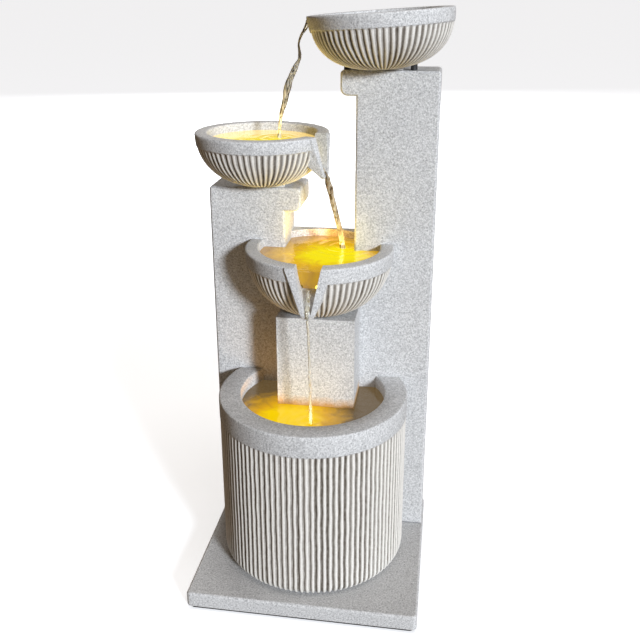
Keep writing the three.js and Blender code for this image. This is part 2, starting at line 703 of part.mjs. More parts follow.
function pumpRotor() {
  const axis = [PUMP_Y, PUMP_AXIS_Z];
  const bladeStart = PUMP_X + 0.6;
  const magnetStart = PUMP_X + VOLUTE_DEPTH - 0.5;
  const magnetEnd = PUMP_X + PUMP_LENGTH - 8.6;
  let body = rod('x', magnetStart + 1, magnetEnd, axis, ROTOR_RADIUS);
  body = body.add(rod('x', bladeStart, magnetStart + 2, axis, 3));
  for (let i = 0; i < 2; i += 1) {
    const blade = new THREE.BoxGeometry(VOLUTE_DEPTH - 0.5, 2 * ROTOR_RADIUS, 1.2);
    blade.rotateX(THREE.MathUtils.degToRad(20 + 90 * i));
    blade.translate(bladeStart + VOLUTE_DEPTH / 2, ...axis);
    body = body.add(solid(blade));
  }
  const bore = SHAFT_RADIUS + SHAFT_GAP;
  return body.subtract(rod('x', bladeStart - 1, magnetEnd + 1, axis, bore));
}

function pumpShaft() {
  const axis = [PUMP_Y, PUMP_AXIS_Z];
  const end = PUMP_X + PUMP_LENGTH - 5.8;
  return rod('x', PUMP_X - 3.6, end, axis, SHAFT_RADIUS);
}

function pumpCover() {
  const start = PUMP_X - GLUE - PUMP_COVER;
  const end = PUMP_X - GLUE;
  const wall = 1.6;
  const half = PUMP_WIDTH / 2;
  const [y0, y1] = [PUMP_Y - half + wall, PUMP_Y + half - wall];
  const axis = [PUMP_Y, PUMP_AXIS_Z];
  const hub = SHAFT_RADIUS + 1.6;
  const socket = SHAFT_RADIUS + SHAFT_GAP;
  let body = pumpBox(start, end)
    .subtract(box(start + wall, end + 1, y0, y1, PUMP_FOOT + wall, PUMP_TOP - wall))
    .add(rod('x', start + 1, end - 0.6, axis, hub, 12))
    .subtract(rod('x', end - 4, end, axis, socket));
  for (let i = 0; i < 4; i += 1) {
    const z = PUMP_AXIS_Z + 4 + 2.4 * i - 1;
    body = body.subtract(box(start - 1, start + wall + 0.1, PUMP_Y - 7, PUMP_Y + 7, z, z + 1.2));
  }
  return body;
}

function flowDial() {
  const face = PUMP_X - GLUE - PUMP_COVER - GLUE;
  const axis = [PUMP_Y, PUMP_AXIS_Z - 6.5];
  const disc = rod('x', face - 1.2, face, axis, 4.4);
  return disc.add(box(face - 2.2, face - 1, axis[0] - 0.6, axis[0] + 0.6, axis[1] - 3.6, axis[1] + 3.6));
}

// ---- water riser ----
function riserHose() {
  const start = PUMP_TOP + 1.5;
  const end = CAVITY.tallTop - 8.5;
  const columnTurn = CAVITY.notchTop;
  return along([
    [NOZZLE_X, PUMP_Y, start],
    [NOZZLE_X, PUMP_Y, start + 30],
    [NOZZLE_X, PUMP_Y, HATCH_FOOT - 18],
    [NOZZLE_X + 1, PUMP_Y + 5, HATCH_FOOT - 1],
    [NOZZLE_X + 6, WALL_FRONT + 2, HATCH_FOOT + 10],
    [NOZZLE_X + 19, CAVITY_FRONT + 11, HATCH_FOOT + 15],
    [OUTLET_X - 4, OUTLET_Y + 2, HATCH_FOOT + 26],
    [OUTLET_X, OUTLET_Y, columnTurn + 14],
    [OUTLET_X, OUTLET_Y, (columnTurn + end) / 2],
    [OUTLET_X, OUTLET_Y, end - 10],
    [OUTLET_X, OUTLET_Y, end],
  ], HOSE_RADIUS, HOSE_BORE, 34, 8);
}

function outletFitting() {
  const seat = outletSeat() + GLUE;
  const barbEnd = CAVITY.tallTop - 5.5;
  return turned([
    [NOZZLE_BORE, CAVITY.tallTop - 18],
    [NOZZLE_RADIUS, CAVITY.tallTop - 18],
    [NOZZLE_RADIUS, barbEnd],
    [OUTLET_THREAD, barbEnd],
    [OUTLET_THREAD, seat],
    [8, seat],
    [8, seat + 1.4],
    [5, seat + 2.6],
    [NOZZLE_BORE, seat + 2.6],
    [NOZZLE_BORE, CAVITY.tallTop - 18],
  ], 16, OUTLET_X, OUTLET_Y);
}

function outletNut() {
  const top = CAVITY.tallTop - GLUE;
  const hex = rod('z', top - 4, top, [OUTLET_X, OUTLET_Y], 8.2, 6);
  return hex.subtract(rod('z', 0, 400, [OUTLET_X, OUTLET_Y], OUTLET_THREAD + 0.2));
}

// ---- rear covers ----
function coverPlate(x0, x1, z0, z1) {
  const gap = COVER_GAP;
  let body = box(x0 + gap, x1 - gap, COVER_FRONT, COVER_BACK, z0 + gap, z1 - gap);
  for (const [x, z] of screwPlaces()) {
    body = body.subtract(rod('y', COVER_FRONT - 1, COVER_BACK + 1, [x, z], PILOT_RADIUS, 8));
  }
  return body;
}

function doorBox(grow, y0, y1) {
  const [w, h] = [DOOR_WIDTH / 2 + grow, DOOR_HEIGHT / 2 + grow];
  return box(DOOR_X - w, DOOR_X + w, y0, y1, DOOR_Z - h, DOOR_Z + h);
}

function lowerCover() {
  return coverPlate(CAVITY.left, CAVITY.right, CAVITY.bottom, CAVITY.notchTop)
    .subtract(doorBox(0, COVER_FRONT - 1, COVER_BACK + 1))
    .subtract(rod('y', COVER_FRONT - 1, COVER_BACK + 1, [INLET_X, INLET_Z], INLET_NECK + GLUE));
}

function lowCover() {
  return coverPlate(CAVITY.left, CAVITY.notchLeft, CAVITY.notchTop, CAVITY.lowTop);
}

function tallCover() {
  return coverPlate(CAVITY.notchRight, CAVITY.right, CAVITY.notchTop, CAVITY.tallTop);
}

function pumpDoor() {
  const flange = COVER_BACK + GLUE;
  const wall = 2;
  const pullEnd = flange + 1.8 + DOOR_PULL;
  const pull = box(DOOR_X - 14, DOOR_X + 14, flange + 1, pullEnd, DOOR_Z - 1.5, DOOR_Z + 1.5);
  return doorBox(DOOR_LAP, flange, flange + 1.8)
    .add(doorBox(-GLUE, COVER_FRONT - DOOR_PLUG, flange + 1))
    .subtract(doorBox(-GLUE - wall, COVER_FRONT - DOOR_PLUG - 1, flange - 0.5))
    .add(pull);
}

function screws() {
  const seat = COVER_BACK + GLUE;
  return screwPlaces().map(([x, z], i) => {
    const geometry = new THREE.LatheGeometry([
      [0, seat - SCREW_LENGTH],
      [SCREW_RADIUS, seat - SCREW_LENGTH + 2],
      [SCREW_RADIUS, seat],
      [SCREW_HEAD, seat],
      [SCREW_HEAD * 0.8, seat + 1.5],
      [0, seat + 1.9],
    ].map((p) => new THREE.Vector2(...p)), 10);
    geometry.translate(x, 0, z);
    const slot = box(x - 2, x + 2, seat + 0.9, seat + 3, z - 0.35, z + 0.35);
    return piece(`cover_screw_${i + 1}`, solid(geometry).subtract(slot), STEEL);
  });
}

// ---- electrical ----
function driverParts() {
  const { width, depth, height, wall, z } = DRIVER;
  const [x0, y0] = [DRIVER_LEFT, DRIVER_FRONT];
  const [x1, y1] = [x0 + width, y0 + depth];
  const shell = box(x0, x1, y0, y1, z, z + height)
    .subtract(box(x0 + wall, x1 - wall, y0 + wall, y1 + 1, z + wall, z + height - wall));
  const inset = wall + GLUE;
  const lid = box(x0, x1, y1 + GLUE, y1 + GLUE + wall, z, z + height)
    .add(box(x0 + inset, x1 - inset, y1 - 1.5, y1 + GLUE + 1, z + inset, z + height - inset));
  const board = box(x0 + wall + 1, x1 - wall - 1, y0 + wall + GLUE, y0 + wall + GLUE + 1.6, z + wall + 1,
    z + height - wall - 1);
  const relay = box(x0 + wall + 4, x0 + wall + 14, y0 + wall + 1, y0 + wall + 9, z + wall + 5, z + wall + 16);
  return [
    piece('driver_box', shell, PUMP_PLASTIC),
    piece('driver_lid', lid, PUMP_PLASTIC),
    piece('driver_board', board.add(relay), BOARD_GREEN),
  ];
}

function inletSocket() {
  const rear = COVER_FRONT - GLUE;
  const tip = COVER_BACK + 4;
  const at = [INLET_X, INLET_Z];
  return rod('y', rear - 11, rear, at, INLET_RADIUS)
    .add(rod('y', rear - 1, tip, at, INLET_NECK))
    .subtract(rod('y', rear - 7, tip + 1, at, INLET_BORE))
    .add(rod('y', rear - 8, tip - 1.5, at, 0.9, 8));
}

function inletNut() {
  const hex = rod('y', COVER_BACK + GLUE, COVER_BACK + GLUE + 2, [INLET_X, INLET_Z], 6.2, 6);
  return hex.subtract(rod('y', 0, 200, [INLET_X, INLET_Z], INLET_NECK + 0.2));
}

function leads() {
  const boxTop = DRIVER.z + DRIVER.height + GLUE;
  const mid = DRIVER_FRONT + DRIVER.depth / 2;
  const port = (share) => DRIVER_LEFT + DRIVER.width * share;
  const corner = BAY_LEFT + 2.3;
  const frontLane = BAY_FRONT + 2.4;
  const pumpOut = PUMP_X + PUMP_LENGTH - 6;
  const routes = {
    pump_lead: [PUMP_LEAD, [
      [pumpOut, PUMP_Y, PUMP_TOP + GLUE],
      [pumpOut, PUMP_Y, PUMP_TOP + 25],
      [pumpOut, PUMP_Y + 3, HATCH_FOOT - 20],
      [pumpOut, PUMP_Y + 7, HATCH_FOOT],
      [pumpOut - 1, WALL_FRONT - 2, HATCH_FOOT + 4],
      [pumpOut - 1, CAVITY_FRONT + 2.5, HATCH_FOOT + 3.2],
      [pumpOut, CAVITY_FRONT + 6, HATCH_FOOT - 7],
      [port(0.3), mid - 2, boxTop + 22],
      [port(0.3), mid, boxTop + 6],
      [port(0.3), mid, boxTop],
    ]],
    basin_lamp_lead: [LAMP_LEAD, [
      [MIDDLE.x - LAMP_RADIUS - GLUE, BASIN_LAMP_Y, BASIN_LAMP_Z + 3],
      [MIDDLE.x - LAMP_RADIUS - 4, BASIN_LAMP_Y + 1, BASIN_LAMP_Z + 3],
      [corner, BLOCK_FRONT - 7, BLOCK_FOOT + 9],
      [corner, BLOCK_FRONT - 2, BLOCK_FOOT + 10],
      [corner, BAY_FRONT - 0.5, BLOCK_FOOT + 10],
      [corner, frontLane, BLOCK_FOOT + 14],
      [corner, frontLane, BLOCK_FOOT + 26],
      [corner, frontLane, BLOCK_FOOT + 60],
      [corner, frontLane + 1, HATCH_FOOT - 26],
      [corner + 1, BLOCK_BACK - 12, HATCH_FOOT],
      [corner + 4, WALL_FRONT - 2, HATCH_FOOT + 4],
      [corner + 5, CAVITY_FRONT + 2, HATCH_FOOT + 3],
      [corner + 7, CAVITY_FRONT + 6, HATCH_FOOT - 6],
      [0, mid + 2, HATCH_FOOT - 26],
      [port(0.05) - 8, mid + 2, boxTop + 20],
      [port(0.12), mid + 2, boxTop + 6],
      [port(0.12), mid + 2, boxTop],
    ]],
    middle_lamp_lead: [LAMP_LEAD, [
      [MIDDLE.x, MIDDLE.y, MIDDLE_LAMP_Z - GLUE],
      [MIDDLE.x, MIDDLE.y, MIDDLE_FOOT],
      [MIDDLE.x, MIDDLE.y, BAY_TOP - 1],
      [MIDDLE.x - 1, MIDDLE.y + 1, BAY_TOP - 5],
      [MIDDLE.x - 4, BLOCK_BACK - 2, BAY_TOP - 9],
      [MIDDLE.x - 6, CAVITY_FRONT + 2, BAY_TOP - 12],
      [MIDDLE.x - 7, CAVITY_FRONT + 8, BAY_TOP - 24],
      [MIDDLE.x + 2, mid + 7, HATCH_FOOT - 10],
      [port(0.5) - 20, mid + 6, boxTop + 30],
      [port(0.5), mid + 2, boxTop + 8],
      [port(0.5), mid + 2, boxTop],
    ]],
    left_lamp_lead: [LAMP_LEAD, [
      [LEFT.x, LEFT_LEAD_Y, LEFT_LAMP_Z - GLUE],
      [LEFT.x, LEFT_LEAD_Y, CAVITY.lowTop - 6],
      [LEFT.x - 3, CAVITY_FRONT + 12, CAVITY.lowTop - 40],
      [LEFT.x - 3, CAVITY_FRONT + 14, CAVITY.notchTop - 10],
      [LEFT.x + 2, mid + 4, HATCH_FOOT - 10],
      [-10, mid + 8, HATCH_FOOT - 42],
      [port(0.5) - 18, mid + 8, boxTop + 14],
      [port(0.75), mid + 3, boxTop + 7],
      [port(0.75), mid + 3, boxTop],
    ]],
    inlet_lead: [PUMP_LEAD, [
      [INLET_X, COVER_FRONT - 11 - 2 * GLUE, INLET_Z],
      [INLET_X, COVER_FRONT - 15, INLET_Z],
      [INLET_X - 1, mid, INLET_Z + 12],
      [INLET_X - 2, mid, DRIVER.z - GLUE - 4],
      [INLET_X - 2, mid, DRIVER.z - GLUE],
    ]],
  };
  return Object.entries(routes).map(([name, [radius, points]]) => {
    const steps = 3 * points.length;
    return piece(name, along(points, radius, 0, steps, 8), RUBBER);
  });
}

// ---- the assembly ----
const fountain = new THREE.Group();
fountain.add(
  piece('base_pad', basePad(), FOAM),
  piece('base_plate', basePlate(), STONE),
  piece('back_wall', backWall(), STONE),
  piece('basin', basin(), STONE),
  piece('pedestal_block', pedestalBlock(), STONE),
  piece('middle_bowl', middleBowl(), STONE),
  piece('left_bowl', leftBowl(), STONE),
  piece('left_bowl_seat', leftSeat(), SILICONE),
  piece('top_bowl', topBowl(), STONE),
  piece('top_bowl_seat', topSeat(), SILICONE),
  ...topBumpers(),
  ...lampPieces(),
  ...suctionCups(),
  piece('pump_body', pumpBody(), PUMP_PLASTIC),
  piece('pump_rotor', pumpRotor(), MAGNET),
  piece('pump_shaft', pumpShaft(), STEEL),
  piece('pump_cover', pumpCover(), PUMP_PLASTIC),
  piece('flow_dial', flowDial(), PUMP_PLASTIC),
  piece('riser_hose', riserHose(), HOSE_VINYL),
  piece('outlet_fitting', outletFitting(), PUMP_PLASTIC),
  piece('outlet_nut', outletNut(), PUMP_PLASTIC),
  piece('lower_rear_cover', lowerCover(), COVER_PLASTIC),
  piece('low_column_cover', lowCover(), COVER_PLASTIC),
  piece('tall_column_cover', tallCover(), COVER_PLASTIC),
  piece('pump_door', pumpDoor(), COVER_PLASTIC),
  ...screws(),
  ...driverParts(),
  piece('inlet_socket', inletSocket(), PUMP_PLASTIC),
  piece('inlet_nut', inletNut(), NICKEL),
  ...leads(),
);

export default fountain;
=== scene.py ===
# Tabletop water fountain: cast stone tiers with lit water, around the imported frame.
import json
import math
import random

import bmesh
import bpy
from mathutils import Matrix, Vector, noise


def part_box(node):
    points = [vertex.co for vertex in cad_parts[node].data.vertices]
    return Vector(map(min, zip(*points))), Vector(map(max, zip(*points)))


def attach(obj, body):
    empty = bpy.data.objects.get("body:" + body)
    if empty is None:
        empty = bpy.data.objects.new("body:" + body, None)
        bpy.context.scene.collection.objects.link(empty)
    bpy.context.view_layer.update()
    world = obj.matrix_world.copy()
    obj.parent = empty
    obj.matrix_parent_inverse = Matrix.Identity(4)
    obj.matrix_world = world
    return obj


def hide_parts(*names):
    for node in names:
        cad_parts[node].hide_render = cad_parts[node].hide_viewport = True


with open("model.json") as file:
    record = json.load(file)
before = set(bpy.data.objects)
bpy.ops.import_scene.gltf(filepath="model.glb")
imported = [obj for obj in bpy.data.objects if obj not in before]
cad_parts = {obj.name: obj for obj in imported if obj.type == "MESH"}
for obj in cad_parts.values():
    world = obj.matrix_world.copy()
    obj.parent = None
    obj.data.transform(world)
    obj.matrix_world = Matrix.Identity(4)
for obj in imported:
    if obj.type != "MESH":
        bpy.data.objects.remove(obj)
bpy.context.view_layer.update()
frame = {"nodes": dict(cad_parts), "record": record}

MM = 0.001
NODES = frame["nodes"]
RECORD = frame["record"]
ROOT = "fountain"


# ---- sizes, in millimetres ----
def node_box(name):
    low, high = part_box(name)
    return Vector(low) / MM, Vector(high) / MM


BASIN_LOW, BASIN_HIGH = node_box("basin")
MIDDLE_LOW, MIDDLE_HIGH = node_box("middle_bowl")
LEFT_LOW, LEFT_HIGH = node_box("left_bowl")
BLOCK_LOW, BLOCK_HIGH = node_box("pedestal_block")
WALL_LOW, WALL_HIGH = node_box("back_wall")

WALL_FRONT = WALL_LOW.y
BASIN = dict(radius=66.8, wall=15.6, x=-1.5, y=3.9, band=15.2, foot=8.0, flutes=104, groove=2.0)
MIDDLE = dict(
    radius=51.8, depth=MIDDLE_HIGH.z - MIDDLE_LOW.z, wall=9.6, round=2.2, x=0.5, y=23.4,
    rim=MIDDLE_HIGH.z, band=10.6, flutes=72, groove=1.7, tilt=0.0,
)
LEFT = dict(
    radius=46.1, depth=LEFT_HIGH.z - LEFT_LOW.z, wall=8.7, round=2.2, x=-40.9, y=36.2,
    rim=LEFT_HIGH.z, band=8.6, flutes=66, groove=1.6, tilt=0.0,
)
TOP = dict(
    radius=46.9, depth=35.9, wall=8.6, round=2.5, x=39.1, y=36.2, rim=WALL_HIGH.z + 37.1, band=8.6,
    flutes=68, groove=1.6, tilt=3.7,
)
# a spout's half widths at its mouth, channel, tip and slot, its drop below the rim and reach past it
MIDDLE_SPOUT = dict(turn=-90, mouth=16.5, channel=9.4, tip=4.6, slot=1.7, drop=34.5, reach=1.5)
LEFT_SPOUT = dict(turn=-18, mouth=15.0, channel=8.4, tip=4.2, slot=1.6, drop=29.3, reach=3.0)
SPOUT_SILL = 11.5
LIP_REACH = 1.2
LIP_HALF = 13.0
FOOT_FLAT = 0.985  # share of a bowl's depth where its flat foot starts
FLOOR_TOP = BASIN_LOW.z + 5.7
WALL_GAP = 0.3
POOL_LEFT, POOL_RIGHT = -25.9, 24.0  # sides of the middle pool inside the back wall

# water levels
BASIN_WATER = BASIN_HIGH.z - 9.6
MIDDLE_WATER = MIDDLE_HIGH.z - 5.2
LEFT_WATER = LEFT_HIGH.z - 5.6
TOP_WATER = TOP["rim"] - 5.4

# flutes: stations across one flute, the groove's section, and how far it may wander or deepen
STATIONS = (0.0, 0.09, 0.19, 0.32, 0.5, 0.68, 0.81, 0.91)
GROOVE_POWER = 0.95
GROOVE_LIMIT = 0.46  # of the pitch
GROOVE_WANDER = 0.13
RIDGE_RECESS = 0.28
TURN_STEPS = [2 * math.pi * i / 96 for i in range(96)]


def show(obj):
    bpy.context.scene.collection.objects.link(obj)


# ---- camera ----
CAMERA_PLACE = (84.52, -513.03, 409.52)
CAMERA_PAN, CAMERA_DIP, CAMERA_ROLL = 0.15776, 0.34322, -0.00441
LENS = 46.05
SHIFT = (0.00354, -0.06174)


def make_camera():
    data = bpy.data.cameras.new("Camera")
    data.sensor_width = 36.0
    data.lens = LENS
    data.shift_x, data.shift_y = SHIFT
    data.clip_start = 0.02
    camera = bpy.data.objects.new("Camera", data)
    show(camera)
    camera.location = Vector(CAMERA_PLACE) * MM
    turn = Matrix.Rotation(CAMERA_PAN, 4, "Z") @ Matrix.Rotation(math.pi / 2 - CAMERA_DIP, 4, "X")
    roll = Matrix.Rotation(CAMERA_ROLL, 4, "Z")
    camera.rotation_euler = (turn @ roll).to_euler()
    bpy.context.scene.camera = camera


# ---- shader building ----
def feed(tree, socket, value):
    """Links another socket in, or sets a plain number or colour."""
    if isinstance(value, bpy.types.NodeSocket):
        tree.links.new(value, socket)
    else:
        socket.default_value = value


def add_node(tree, kind, values=None, **settings):
    node = tree.nodes.new(kind)
    for key, value in settings.items():
        setattr(node, key, value)
    for key, value in (values or {}).items():
        feed(tree, node.inputs[key], value)
    return node


def ramp(tree, factor, stops):
    """Colour along a factor; each stop is (place, colour), and between stops the colour runs evenly."""
    node = add_node(tree, "ShaderNodeValToRGB", {"Fac": factor})
    elements = node.color_ramp.elements
    while len(elements) < len(stops):
        elements.new(0.5)
    for element, (place, value) in zip(elements, stops):
        element.position = place
        element.color = value
    return node.outputs["Color"]


def mix_colors(tree, factor, first, second, blend="MIX"):
    values = {0: factor, 6: first, 7: second}
    return add_node(tree, "ShaderNodeMix", values, data_type="RGBA", blend_type=blend).outputs[2]


def maths(tree, operation, first, second=0.0, clamp=False):
    node = add_node(tree, "ShaderNodeMath", {0: first, 1: second}, operation=operation, use_clamp=clamp)
    return node.outputs[0]


def times(tree, first, second):
    return maths(tree, "MULTIPLY", first, second)


def map_range(tree, value, low, high, start, end):
    """The value from low to high carried over to start to end, and held at the ends."""
    values = {0: value, 1: low, 2: high, 3: start, 4: end}
    return add_node(tree, "ShaderNodeMapRange", values).outputs[0]


def noise_at(tree, place, scale, detail=2.0, roughness=0.5, distortion=0.0):
    values = {
        "Vector": place,
        "Scale": scale,
        "Detail": detail,
        "Roughness": roughness,
        "Distortion": distortion,
    }
    return add_node(tree, "ShaderNodeTexNoise", values).outputs[0]


def object_place(tree):
    return add_node(tree, "ShaderNodeTexCoord").outputs["Object"]


def stretched_place(tree, scale):
    values = {"Vector": object_place(tree), "Scale": scale}
    return add_node(tree, "ShaderNodeMapping", values).outputs["Vector"]


def upward(tree):
    """How far a face looks up, from -1 to 1."""
    normal = add_node(tree, "ShaderNodeNewGeometry").outputs["Normal"]
    return add_node(tree, "ShaderNodeSeparateXYZ", {0: normal}).outputs["Z"]


def new_group(name, inputs, outputs):
    """A shader node group; inputs are names with their usual numbers, outputs are names."""
    tree = bpy.data.node_groups.new(name, "ShaderNodeTree")
    for title, value in inputs.items():
        socket = tree.interface.new_socket(title, in_out="INPUT", socket_type="NodeSocketFloat")
        socket.default_value = value
    for title in outputs:
        tree.interface.new_socket(title, in_out="OUTPUT", socket_type="NodeSocketFloat")
    given = tree.nodes.new("NodeGroupInput").outputs
    result = tree.nodes.new("NodeGroupOutput").inputs
    return tree, given, result


def use_group(tree, group, values):
    return add_node(tree, "ShaderNodeGroup", values, node_tree=group).outputs


def stone_grain_group():
    """Granite-look casting: mixed light and dark grains, dark flecks and broad tone drift."""
    inputs = {"Grain": 1.0, "Flecks": 0.5}
    tree, given, result = new_group("Stone grain", inputs, ("Tone", "Fleck", "Height"))
    place = object_place(tree)
    coarse = noise_at(tree, place, times(tree, given["Grain"], 900.0), 2.0, 0.6)
    fine = noise_at(tree, place, times(tree, given["Grain"], 1700.0), 2.0, 0.6)
    broad = noise_at(tree, place, 22.0, 3.0, 0.55)
    grains = maths(tree, "ADD", times(tree, coarse, 0.62), times(tree, fine, 0.38))
    spread = map_range(tree, grains, 0.36, 0.64, 0.0, 1.0)
    drift = map_range(tree, broad, 0.3, 0.7, -0.05, 0.05)
    tree.links.new(maths(tree, "ADD", spread, drift, clamp=True), result["Tone"])
    chips = add_node(tree, "ShaderNodeTexVoronoi", {"Vector": place, "Scale": 430.0, "Randomness": 1.0})
    small = map_range(tree, chips.outputs["Distance"], 0.16, 0.27, 1.0, 0.0)
    tree.links.new(times(tree, small, given["Flecks"]), result["Fleck"])
    tree.links.new(grains, result["Height"])
    return tree


def surface_texture_group():
    """Moulded or rolled skin: fine grain for bump and slow drift for tone and gloss."""
    tree, given, result = new_group("Moulded skin", {"Grain": 900.0, "Drift": 18.0}, ("Tone", "Height"))
    place = object_place(tree)
    fine = noise_at(tree, place, given["Grain"], 2.0, 0.6)
    slow = noise_at(tree, place, given["Drift"], 4.0, 0.6)
    tone = maths(tree, "ADD", times(tree, fine, 0.35), times(tree, slow, 0.65))
    tree.links.new(tone, result["Tone"])
    tree.links.new(fine, result["Height"])
    return tree


def dust_group():
    """Dust and dried splashes that settle on faces that look upward."""
    tree, given, result = new_group("Settled dust", {"Amount": 0.5, "Patch": 60.0}, ("Mask",))
    facing = map_range(tree, upward(tree), 0.2, 1.0, 0.0, 1.0)
    patches = noise_at(tree, object_place(tree), given["Patch"], 4.0, 0.65)
    spread = map_range(tree, patches, 0.42, 0.68, 0.15, 1.0)
    tree.links.new(times(tree, times(tree, facing, spread), given["Amount"]), result["Mask"])
    return tree


def top_streak_group():
    """Darker streaks on faces that look straight up."""
    tree, given, result = new_group("Top streaks", {"Amount": 0.3}, ("Mask",))
    facing = map_range(tree, upward(tree), 0.72, 0.96, 0.0, 1.0)
    streaks = noise_at(tree, stretched_place(tree, (0.45, 1.0, 1.0)), 190.0, 5.0, 0.7, 1.6)
    spread = map_range(tree, streaks, 0.38, 0.66, 0.25, 1.0)
    tree.links.new(times(tree, times(tree, facing, spread), given["Amount"]), result["Mask"])
    return tree


# ---- finishes ----
STONE_LIGHT = (0.78, 0.78, 0.78, 1.0)
STONE_DARK = (0.38, 0.38, 0.385, 1.0)
# cream tint for the fluted faces
RIDGE = (0.92, 0.885, 0.82, 1.0)
# painted shade for the flute grooves
GROOVE_SHADE = (0.13, 0.105, 0.08, 1.0)
# amber glow of the lit water, painted on the stone above the waterline
WATER_GLOW_AMBER = (0.55, 0.27, 0.03, 1.0)
DUST = (0.42, 0.40, 0.36, 1.0)
WATER_IOR = 1.33


def new_material(name):
    material = bpy.data.materials.new(name)
    material.use_nodes = True
    tree = material.node_tree
    tree.nodes.clear()
    shader = tree.nodes.new("ShaderNodeBsdfPrincipled")
    output = tree.nodes.new("ShaderNodeOutputMaterial")
    tree.links.new(shader.outputs["BSDF"], output.inputs["Surface"])
    return material, tree, shader


def set_shader(tree, shader, **values):
    for key, value in values.items():
        feed(tree, shader.inputs[key.replace("_", " ")], value)


def bump(tree, height, strength, distance):
    values = {"Height": height, "Strength": strength, "Distance": distance}
    return add_node(tree, "ShaderNodeBump", values).outputs["Normal"]


def painted(tree, name):
    node = add_node(tree, "ShaderNodeAttribute", attribute_name=name, attribute_type="GEOMETRY")
    return node.outputs["Fac"]


def darker(colour, share):
    return tuple(share * c for c in colour[:3]) + (1.0,)


def painted_waterline_glow(tree, colour, level):
    """Painted amber glow of the lit water on the stone, from a water level up to a ragged edge."""
    place = object_place(tree)
    height = add_node(tree, "ShaderNodeSeparateXYZ", {0: place}).outputs["Z"]
    drift = maths(tree, "SUBTRACT", noise_at(tree, place, 160.0, 4.0, 0.65), 0.5)
    ragged = times(tree, drift, 8.0 * MM)
    above = maths(tree, "SUBTRACT", maths(tree, "ADD", height, ragged), level * MM)
    glow_share = map_range(tree, above, 0.0, 7.5 * MM, 0.85, 0.0)
    return mix_colors(tree, glow_share, colour, WATER_GLOW_AMBER)


def cast_stone(name, groups, water=None):
    """Cast stone: a cream tint over the fluted faces, painted shade in the flute grooves, and darker
    streaks on flat tops.
    """
    material, tree, shader = new_material(name)
    grain = use_group(tree, groups["stone"], {"Grain": 1.0, "Flecks": 0.42})
    tone = mix_colors(tree, grain["Tone"], STONE_DARK, STONE_LIGHT)
    flecked = mix_colors(tree, grain["Fleck"], tone, darker(STONE_DARK, 0.45))
    # cream tint over the fluted faces, lighter than the plain stone
    flute_tinted = mix_colors(tree, times(tree, painted(tree, "fluted"), 0.72), flecked, RIDGE)
    # painted shade in the flute grooves, uneven from place to place
    breakup = noise_at(tree, object_place(tree), 260.0, 3.0, 0.7)
    uneven = map_range(tree, breakup, 0.3, 0.7, 0.7, 1.0)
    groove_shade_share = maths(tree, "MULTIPLY", painted(tree, "groove"), uneven, clamp=True)
    groove_shaded = mix_colors(tree, groove_shade_share, flute_tinted, GROOVE_SHADE)
    # darker streaks on faces that look straight up
    top_streaks = use_group(tree, groups["top_streaks"], {"Amount": 0.2})["Mask"]
    colour = mix_colors(tree, top_streaks, groove_shaded, darker(STONE_DARK, 0.42))
    # painted amber glow of the lit water just above its level
    if water is not None:
        colour = painted_waterline_glow(tree, colour, water)
    set_shader(
        tree,
        shader,
        Base_Color=colour,
        Roughness=map_range(tree, grain["Tone"], 0.0, 1.0, 0.72, 0.9),
        Normal=bump(tree, grain["Height"], 0.55, 0.6 * MM),
        Specular_IOR_Level=0.35,
    )
    return material


def moulded(name, low, high, rough, grain, dust, strength, groups):
    """Plastic or rubber with a fine skin, slow tone drift and a little settled dust."""
    material, tree, shader = new_material(name)
    skin = use_group(tree, groups["skin"], {"Grain": grain, "Drift": 22.0})
    spread = map_range(tree, skin["Tone"], 0.35, 0.65, 0.0, 1.0)
    tone = mix_colors(tree, spread, low, high)
    settled = use_group(tree, groups["dust"], {"Amount": dust})["Mask"]
    roughness = map_range(tree, spread, 0.0, 1.0, rough - 0.07, rough + 0.07)
    set_shader(
        tree,
        shader,
        Base_Color=mix_colors(tree, settled, tone, DUST),
        Roughness=maths(tree, "ADD", roughness, times(tree, settled, 0.3), clamp=True),
        Normal=bump(tree, skin["Height"], strength, 0.3 * MM),
    )
    return material


def metal(name, colour, rough, groups):
    """Turned or plated metal with fine lay marks and handling marks."""
    material, tree, shader = new_material(name)
    skin = use_group(tree, groups["skin"], {"Grain": 1500.0, "Drift": 240.0})
    spread = map_range(tree, skin["Tone"], 0.35, 0.65, 0.0, 1.0)
    set_shader(
        tree,
        shader,
        Base_Color=mix_colors(tree, spread, darker(colour, 0.62), colour),
        Roughness=map_range(tree, spread, 0.0, 1.0, rough + 0.14, rough - 0.06),
        Metallic=1.0,
        Normal=bump(tree, skin["Height"], 0.12, 0.2 * MM),
    )
    return material


def lit_water(name, lamp, reach, core, body, edge, glow):
    """Water with the light of a lamp below painted in: bright colour and emission over the lamp, amber away
    from it, and, where the edge colour is dark, painted shade at the far edge.
    """
    material, tree, shader = new_material(name)
    place = object_place(tree)
    between = {0: place, 1: Vector(lamp) * MM}
    offset = add_node(tree, "ShaderNodeVectorMath", between, operation="SUBTRACT").outputs[0]
    distance = add_node(tree, "ShaderNodeVectorMath", {0: offset}, operation="LENGTH").outputs["Value"]
    share = maths(tree, "DIVIDE", distance, reach * MM)
    swirl = noise_at(tree, place, 85.0, 3.0, 0.55, 0.8)
    shifted = maths(tree, "ADD", share, times(tree, maths(tree, "SUBTRACT", swirl, 0.5), 0.55))
    # painted light: lamp colour fading to the edge colour; the emission makes the water glow
    colour = ramp(tree, shifted, [(0.0, core), (0.32, core), (0.6, body), (1.0, edge)])
    set_shader(
        tree,
        shader,
        Base_Color=mix_colors(tree, 1.0, colour, (0.2, 0.2, 0.2, 1.0), "MULTIPLY"),
        Emission_Color=colour,
        Emission_Strength=glow,
        Roughness=0.05,
        IOR=WATER_IOR,
        Coat_Weight=0.3,
        Coat_Roughness=0.03,
        Coat_IOR=1.4,
        Normal=bump(tree, noise_at(tree, place, 200.0, 2.0, 0.5, 0.6), 0.35, 0.8 * MM),
    )
    return material


